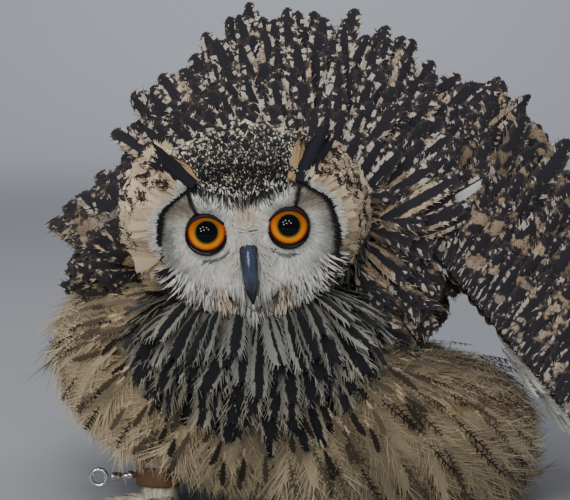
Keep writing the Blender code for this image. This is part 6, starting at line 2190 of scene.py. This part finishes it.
    def build(self) -> None:
        """Makes both wings."""
        self.make_arm("left", LEFT_WING, self.left, Tier(0.040, 0.0, 18, 0.195, 0.042, 13, (-6.0, 14.0)), 8, 300)
        self.make_arm("right", RIGHT_WING, self.right, Tier(0.040, 0.0, 3, 0.165, 0.038, 8, (-6.0, 14.0)), -8, 400)
        self.make_edge()
        self.make_wrist()
        self.left_hand()
        self.right_hand()


@dataclass
class Tail:
    """The tail: twelve rectrices in a half-open fan with coverts over and under their roots."""

    shop: Workshop
    length: float = 0.190
    root: Place = TAIL_ROOT.centre

    def roots(self, count: int, spread: float, wide: float, back: float, high: Callable[[Array], Array],
              face: int, row: float) -> Roots:
        """Roots side by side across the tail, on its upper or lower face.

        Args:
            count: how many there are.
            spread: how far the outermost turn outward, in degrees.
            wide: half the width that they stand over.
            back: how far behind the tail's root they start.
            high: gives their heights from their places across, which run from -1 to 1.
            face: 1 for the upper face and -1 for the lower.
            row: their row on the coat's map.

        Returns:
            The roots.
        """
        side = unit(np.cross(TAIL_WAY, UP))
        place = np.linspace(-1, 1, count)
        turn = np.radians(spread * place)[:, None]
        way = TAIL_WAY * np.cos(turn) + side * np.sin(turn)
        normal = np.cross(side, TAIL_WAY)
        points = np.array(self.root) + TAIL_WAY * back
        points = points + side * (wide * place)[:, None] + normal * high(place)[:, None]
        return Roots(points, way, np.broadcast_to(normal * face, way.shape), rows_of(0.5 + 0.45 * place, row))

    def build(self) -> None:
        """Lays the rectrices, the middle ones on top, and the coverts."""
        roots = self.roots(12, 14, 0.022, 0.018, lambda place: -0.004 * np.abs(place), 1, 0.3)
        cut = replace(QUILL, rows=24,
                      outline=((0.0, 0.25), (0.2, 0.80), (0.6, 1.0), (0.88, 0.92), (0.97, 0.62), (1.0, 0.30)),
                      curl=0.07, camber=0.12, sweep=0.2, thickness=0.0008)
        tint = shades(12, (0.30, 0.20, 0.11), (0.26, 0.18, 0.11), 501, 0.08)
        surface = cut.lay(roots, self.length, 0.034, 0.0, tint, 0.5, 502, 0.010, 8)
        self.shop.make("tail_quills", surface, BarredFinish("tail_feather", bars=6.0), Slot.DARK, ("tail",))
        parts, cut = [], VaneCut(rows=9, curl=0.08, ragged=0.12)
        rows = ((0.030, 0.070, 11, 1), (0.012, 0.060, 13, 1), (-0.008, 0.050, 13, 1),
                (0.026, 0.066, 11, -1), (0.004, 0.055, 13, -1), (-0.016, 0.045, 13, -1))
        for row, (back, size, count, face) in enumerate(rows):
            roots = self.roots(count, 26, 0.026, back, lambda place: face * (0.012 - 0.006 * place**2), face,
                               0.5 + 0.05 * row)
            tint = shades(count, (0.34, 0.24, 0.14), (0.42, 0.32, 0.20), 510 + row, 0.15)
            parts.append(cut.lay(roots, size, 0.022, 12, tint, 0.4, 520 + row, twist=4))
        finish = SpottedFinish("tail_covert", middle=0.28, web_from=8.0, webs=0.7, swept=2.0)
        self.shop.make("tail_coverts", joined(parts), finish, Slot.DARK)


@dataclass
class Claws:
    """Eight curved black claws."""

    shop: Workshop
    horn: HornFinish = HornFinish("claw_horn", (0.030, 0.029, 0.032), (0.008, 0.008, 0.009), 0.28)

    def build(self) -> None:
        """Each is a tapering tube along the solid's own curve, with more stations."""
        part = np.linspace(0, 1, 18)
        bend, radius, size = math.radians(62) * part, TALON_RADIUS * (1 - 0.86 * part), TOE_RADIUS * 0.66
        rise = 0.0010 - 0.0062 * part**1.6 + 0.0016 * np.sin(math.pi * part)
        for name, (x, y, side) in FEET.items():
            for toe, (angle, share) in TOES.items():
                turn = math.radians(angle) * side
                out = np.array([math.sin(turn), -math.cos(turn), 0.0])
                start = np.array([x, y, size * 0.96 + 0.0010]) + out * (TOE_LENGTH * share - 0.0045)
                centre = start + out * (TALON_LENGTH * np.sin(bend) * 0.95)[:, None] + UP * rise[:, None]
                lean = out * np.sin(bend)[:, None] + UP * np.cos(bend)[:, None]
                across = np.array([out[1], -out[0], 0.0]) * radius[:, None]
                surface = horn_tube(centre, across, lean * (radius * 1.1)[:, None], 18, part)
                self.shop.make("claw_" + name + "_" + toe, surface, self.horn, Slot.CLAW,
                               ("talon_" + name + "_" + toe,), True)


@dataclass
class Fittings:
    """Leather anklets, and the steel swivel at the right one."""

    shop: Workshop
    base: float = 0.0235
    height: float = 0.013
    inner: float = 0.0131
    wall: float = 0.0022
    gap: float = 0.0003
    shank: float = 0.0175
    ring_radius: float = 0.0052
    wire: float = 0.00155

    def make_anklet(self, name: str) -> None:
        """A strap turned about the leg: a rounded rectangle carried round a circle, darker at its edges."""
        steps, sides, power = 64, 24, 0.35
        x, y, _ = FEET[name]
        turn, around = turns(steps)[:, None], turns(sides)
        u, w = (np.sign(way) * np.abs(way) ** power for way in (np.cos(around), np.sin(around)))
        radius = self.inner + self.wall / 2 * (1 + u)
        wave = 0.0003 * np.sin(3 * turn + 1.0)
        points = rows_of(x + radius * np.cos(turn), y + self.gap + radius * np.sin(turn),
                         self.base + self.height / 2 * (1 + w) + wave)
        mark = np.broadcast_to(smooth(np.abs(w), 0.80, 0.98), (steps, sides)).ravel()
        surface = Surface(points.reshape(-1, 3), grid_faces(steps, sides, closed=True, ring=True), mark=mark)
        self.shop.make("strap_" + name, surface, LeatherFinish(), Slot.LEATHER, ("anklet_" + name,), weld=True)

    def make_swivel(self) -> None:
        """The shank turned from stepped stations with rounded shoulders, and the round ring at its end."""
        x, y, _ = FEET["right"]
        out = unit(np.array([-1.0, -0.30, 0.0]))
        start = np.array([x, y + self.gap, self.base + self.height / 2]) + out * (self.inner + self.wall + self.gap)
        reach = np.array([0.0, 0.0, 0.02, 0.10, 0.115, 0.13, 0.29, 0.305, 0.32, 0.60, 0.615, 0.63, 0.90, 0.93,
                          0.97, 1.0, 1.0])
        size = 0.0019 * np.array([0.0, 0.9, 1.0, 1.0, 1.3, 1.5, 1.5, 1.3, 1.0, 1.0, 1.25, 1.45, 1.45, 1.38,
                                  1.1, 0.8, 0.0])
        across = np.array([out[1], -out[0], 0.0])
        surface = horn_tube(start + out * (self.shank * reach)[:, None], across * size[:, None], UP * size[:, None],
                            32, reach)
        self.shop.make("swivel_post", surface, SteelFinish(), Slot.STEEL, ("swivel_shank",), weld=True)
        centre = start + out * (self.shank + 0.0068 + self.gap)
        turn, around = turns(72)[:, None], turns(18)
        radius = self.ring_radius + self.wire * np.cos(around)
        points = rows_of(centre[0] + radius * np.cos(turn), centre[1] + self.wire * np.sin(around),
                         centre[2] + radius * np.sin(turn))
        surface = Surface(points.reshape(-1, 3), grid_faces(72, 18, closed=True, ring=True))
        self.shop.make("swivel_eye", surface, SteelFinish(), Slot.STEEL, ("swivel_ring",), weld=True)

    def build(self) -> None:
        """Makes the anklets and the swivel."""
        self.make_anklet("right")
        self.make_anklet("left")
        self.make_swivel()


@dataclass
class Studio:
    """The plain pale floor, soft lights and the camera."""

    shop: Workshop
    camera_place: Place = (0.0225, -1.0938, 0.3085)
    camera_pitch: float = -7.0
    lens: float = 105.3

    def lamp(self, name: str, place: Place, target: Place, size: tuple[float, float], power: float,
             colour: Colour = (1.0, 1.0, 1.0), mirrored: bool = False) -> None:
        """One rectangular soft light aimed at a place.

        Args:
            name: the light's name.
            place: where it hangs.
            target: where it points.
            size: its width and height.
            power: in watts.
            colour: the colour of its light.
            mirrored: whether gloss shows it.
        """
        data = bpy.data.lights.new(name, "AREA")
        data.shape, data.size, data.size_y = "RECTANGLE", size[0], size[1]
        data.energy, data.color = power, colour
        lamp = self.shop.add(name, data)
        lamp.visible_glossy = mirrored
        start, end = self.shop.place(place), self.shop.place(target)
        away = unit(start - end)
        across = unit(np.cross(UP, away))
        turn = Matrix(rows_of(across, np.cross(away, across), away).tolist()).to_4x4()
        lamp.matrix_world = Matrix.Translation(start.tolist()) @ turn

    def make_floor(self) -> None:
        """A wide floor that curves up into a wall far behind."""
        x, y = self.shop.place((0.0, 0.0, 0.0))[:2]
        turn = np.linspace(0, math.pi / 2, 20)
        run = np.concatenate([[-7.0, 0.0], 3.6 + 1.8 * np.sin(turn), [5.4]])
        rise = np.concatenate([[0.0, 0.0], 1.8 * (1 - np.cos(turn)), [6.0]])
        sheet = rows_of(x + np.array([-8.0, 8.0]), (y + run)[:, None], rise[:, None])
        mesh = bpy.data.meshes.new("floor")
        mesh.from_pydata(sheet.reshape(-1, 3).tolist(), [], grid_faces(len(run), 2).tolist())
        mesh.polygons.foreach_set("use_smooth", np.ones(len(run) - 1, dtype=bool))
        mesh.materials.append(Graph("floor_paint", 0.9, 0.1).finished((0.34, 0.35, 0.37)))
        floor = self.shop.add("floor", mesh)
        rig.stage(floor)

    def build(self) -> None:
        """Sets the floor, the world, the lights and the camera."""
        self.make_floor()
        world = bpy.data.worlds.new("studio")
        bpy.context.scene.world = world
        world.use_nodes = True
        world.node_tree.nodes["Background"].inputs["Color"].default_value = (0.42, 0.45, 0.52, 1.0)
        world.node_tree.nodes["Background"].inputs["Strength"].default_value = 0.55
        for k, (turn, rise) in enumerate(((-30, 20), (-18, 29), (-11, 15), (1, 27), (11, 17), (-25, 9))):
            turn, rise = math.radians(turn), math.radians(rise)
            out = 1.9 * math.cos(rise)
            place = (math.sin(turn) * out, -0.1 - math.cos(turn) * out, 0.2 + 1.9 * math.sin(rise))
            self.lamp(f"key_{k}", place, (0.0, -0.02, 0.15), (0.14, 0.14), 3.8, (1.0, 0.98, 0.95), True)
        self.lamp("fill", (1.3, -1.2, 0.9), (0.0, 0.0, 0.12), (0.9, 0.9), 6.5, (0.92, 0.96, 1.0))
        self.lamp("sky", (-0.5, -1.3, 1.9), (0.0, 0.0, 0.12), (1.8, 1.1), 23.5, (1.0, 0.98, 0.96))
        self.lamp("wall", (0.0, 3.2, 2.6), (0.0, 5.0, 1.0), (3.0, 0.6), 80.0, (0.94, 0.97, 1.0))
        self.lamp("top", (0.2, 0.9, 1.6), (0.0, 0.05, 0.15), (1.2, 0.7), 12.0)
        data = bpy.data.cameras.new("camera")
        data.sensor_width, data.lens = 36.0, self.lens
        data.clip_start, data.clip_end = 0.05, 50.0
        camera = self.shop.add("camera", data)
        camera.location = self.shop.place(self.camera_place).tolist()
        camera.rotation_euler = (math.radians(90 + self.camera_pitch), 0.0, 0.0)
        bpy.context.scene.camera = camera


def main() -> None:
    """Builds the owl's looks piece by piece."""
    logging.basicConfig(level=logging.INFO, format="%(name)s %(message)s")
    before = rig.bounds()
    shop = Workshop()
    for piece in (Studio, Skin, Eyes, Bill, Head, Coat, Fan, Wings, Tail, Claws, Fittings):
        piece(shop).build()
    LOG.info("all pieces: %d triangles", shop.total)
    with open("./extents.json", "w") as out:
        json.dump({"cad": [list(map(float, corner)) for corner in before],
                   "visual": [list(map(float, corner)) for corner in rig.bounds()]}, out)


if __name__ == "__main__":
    main()
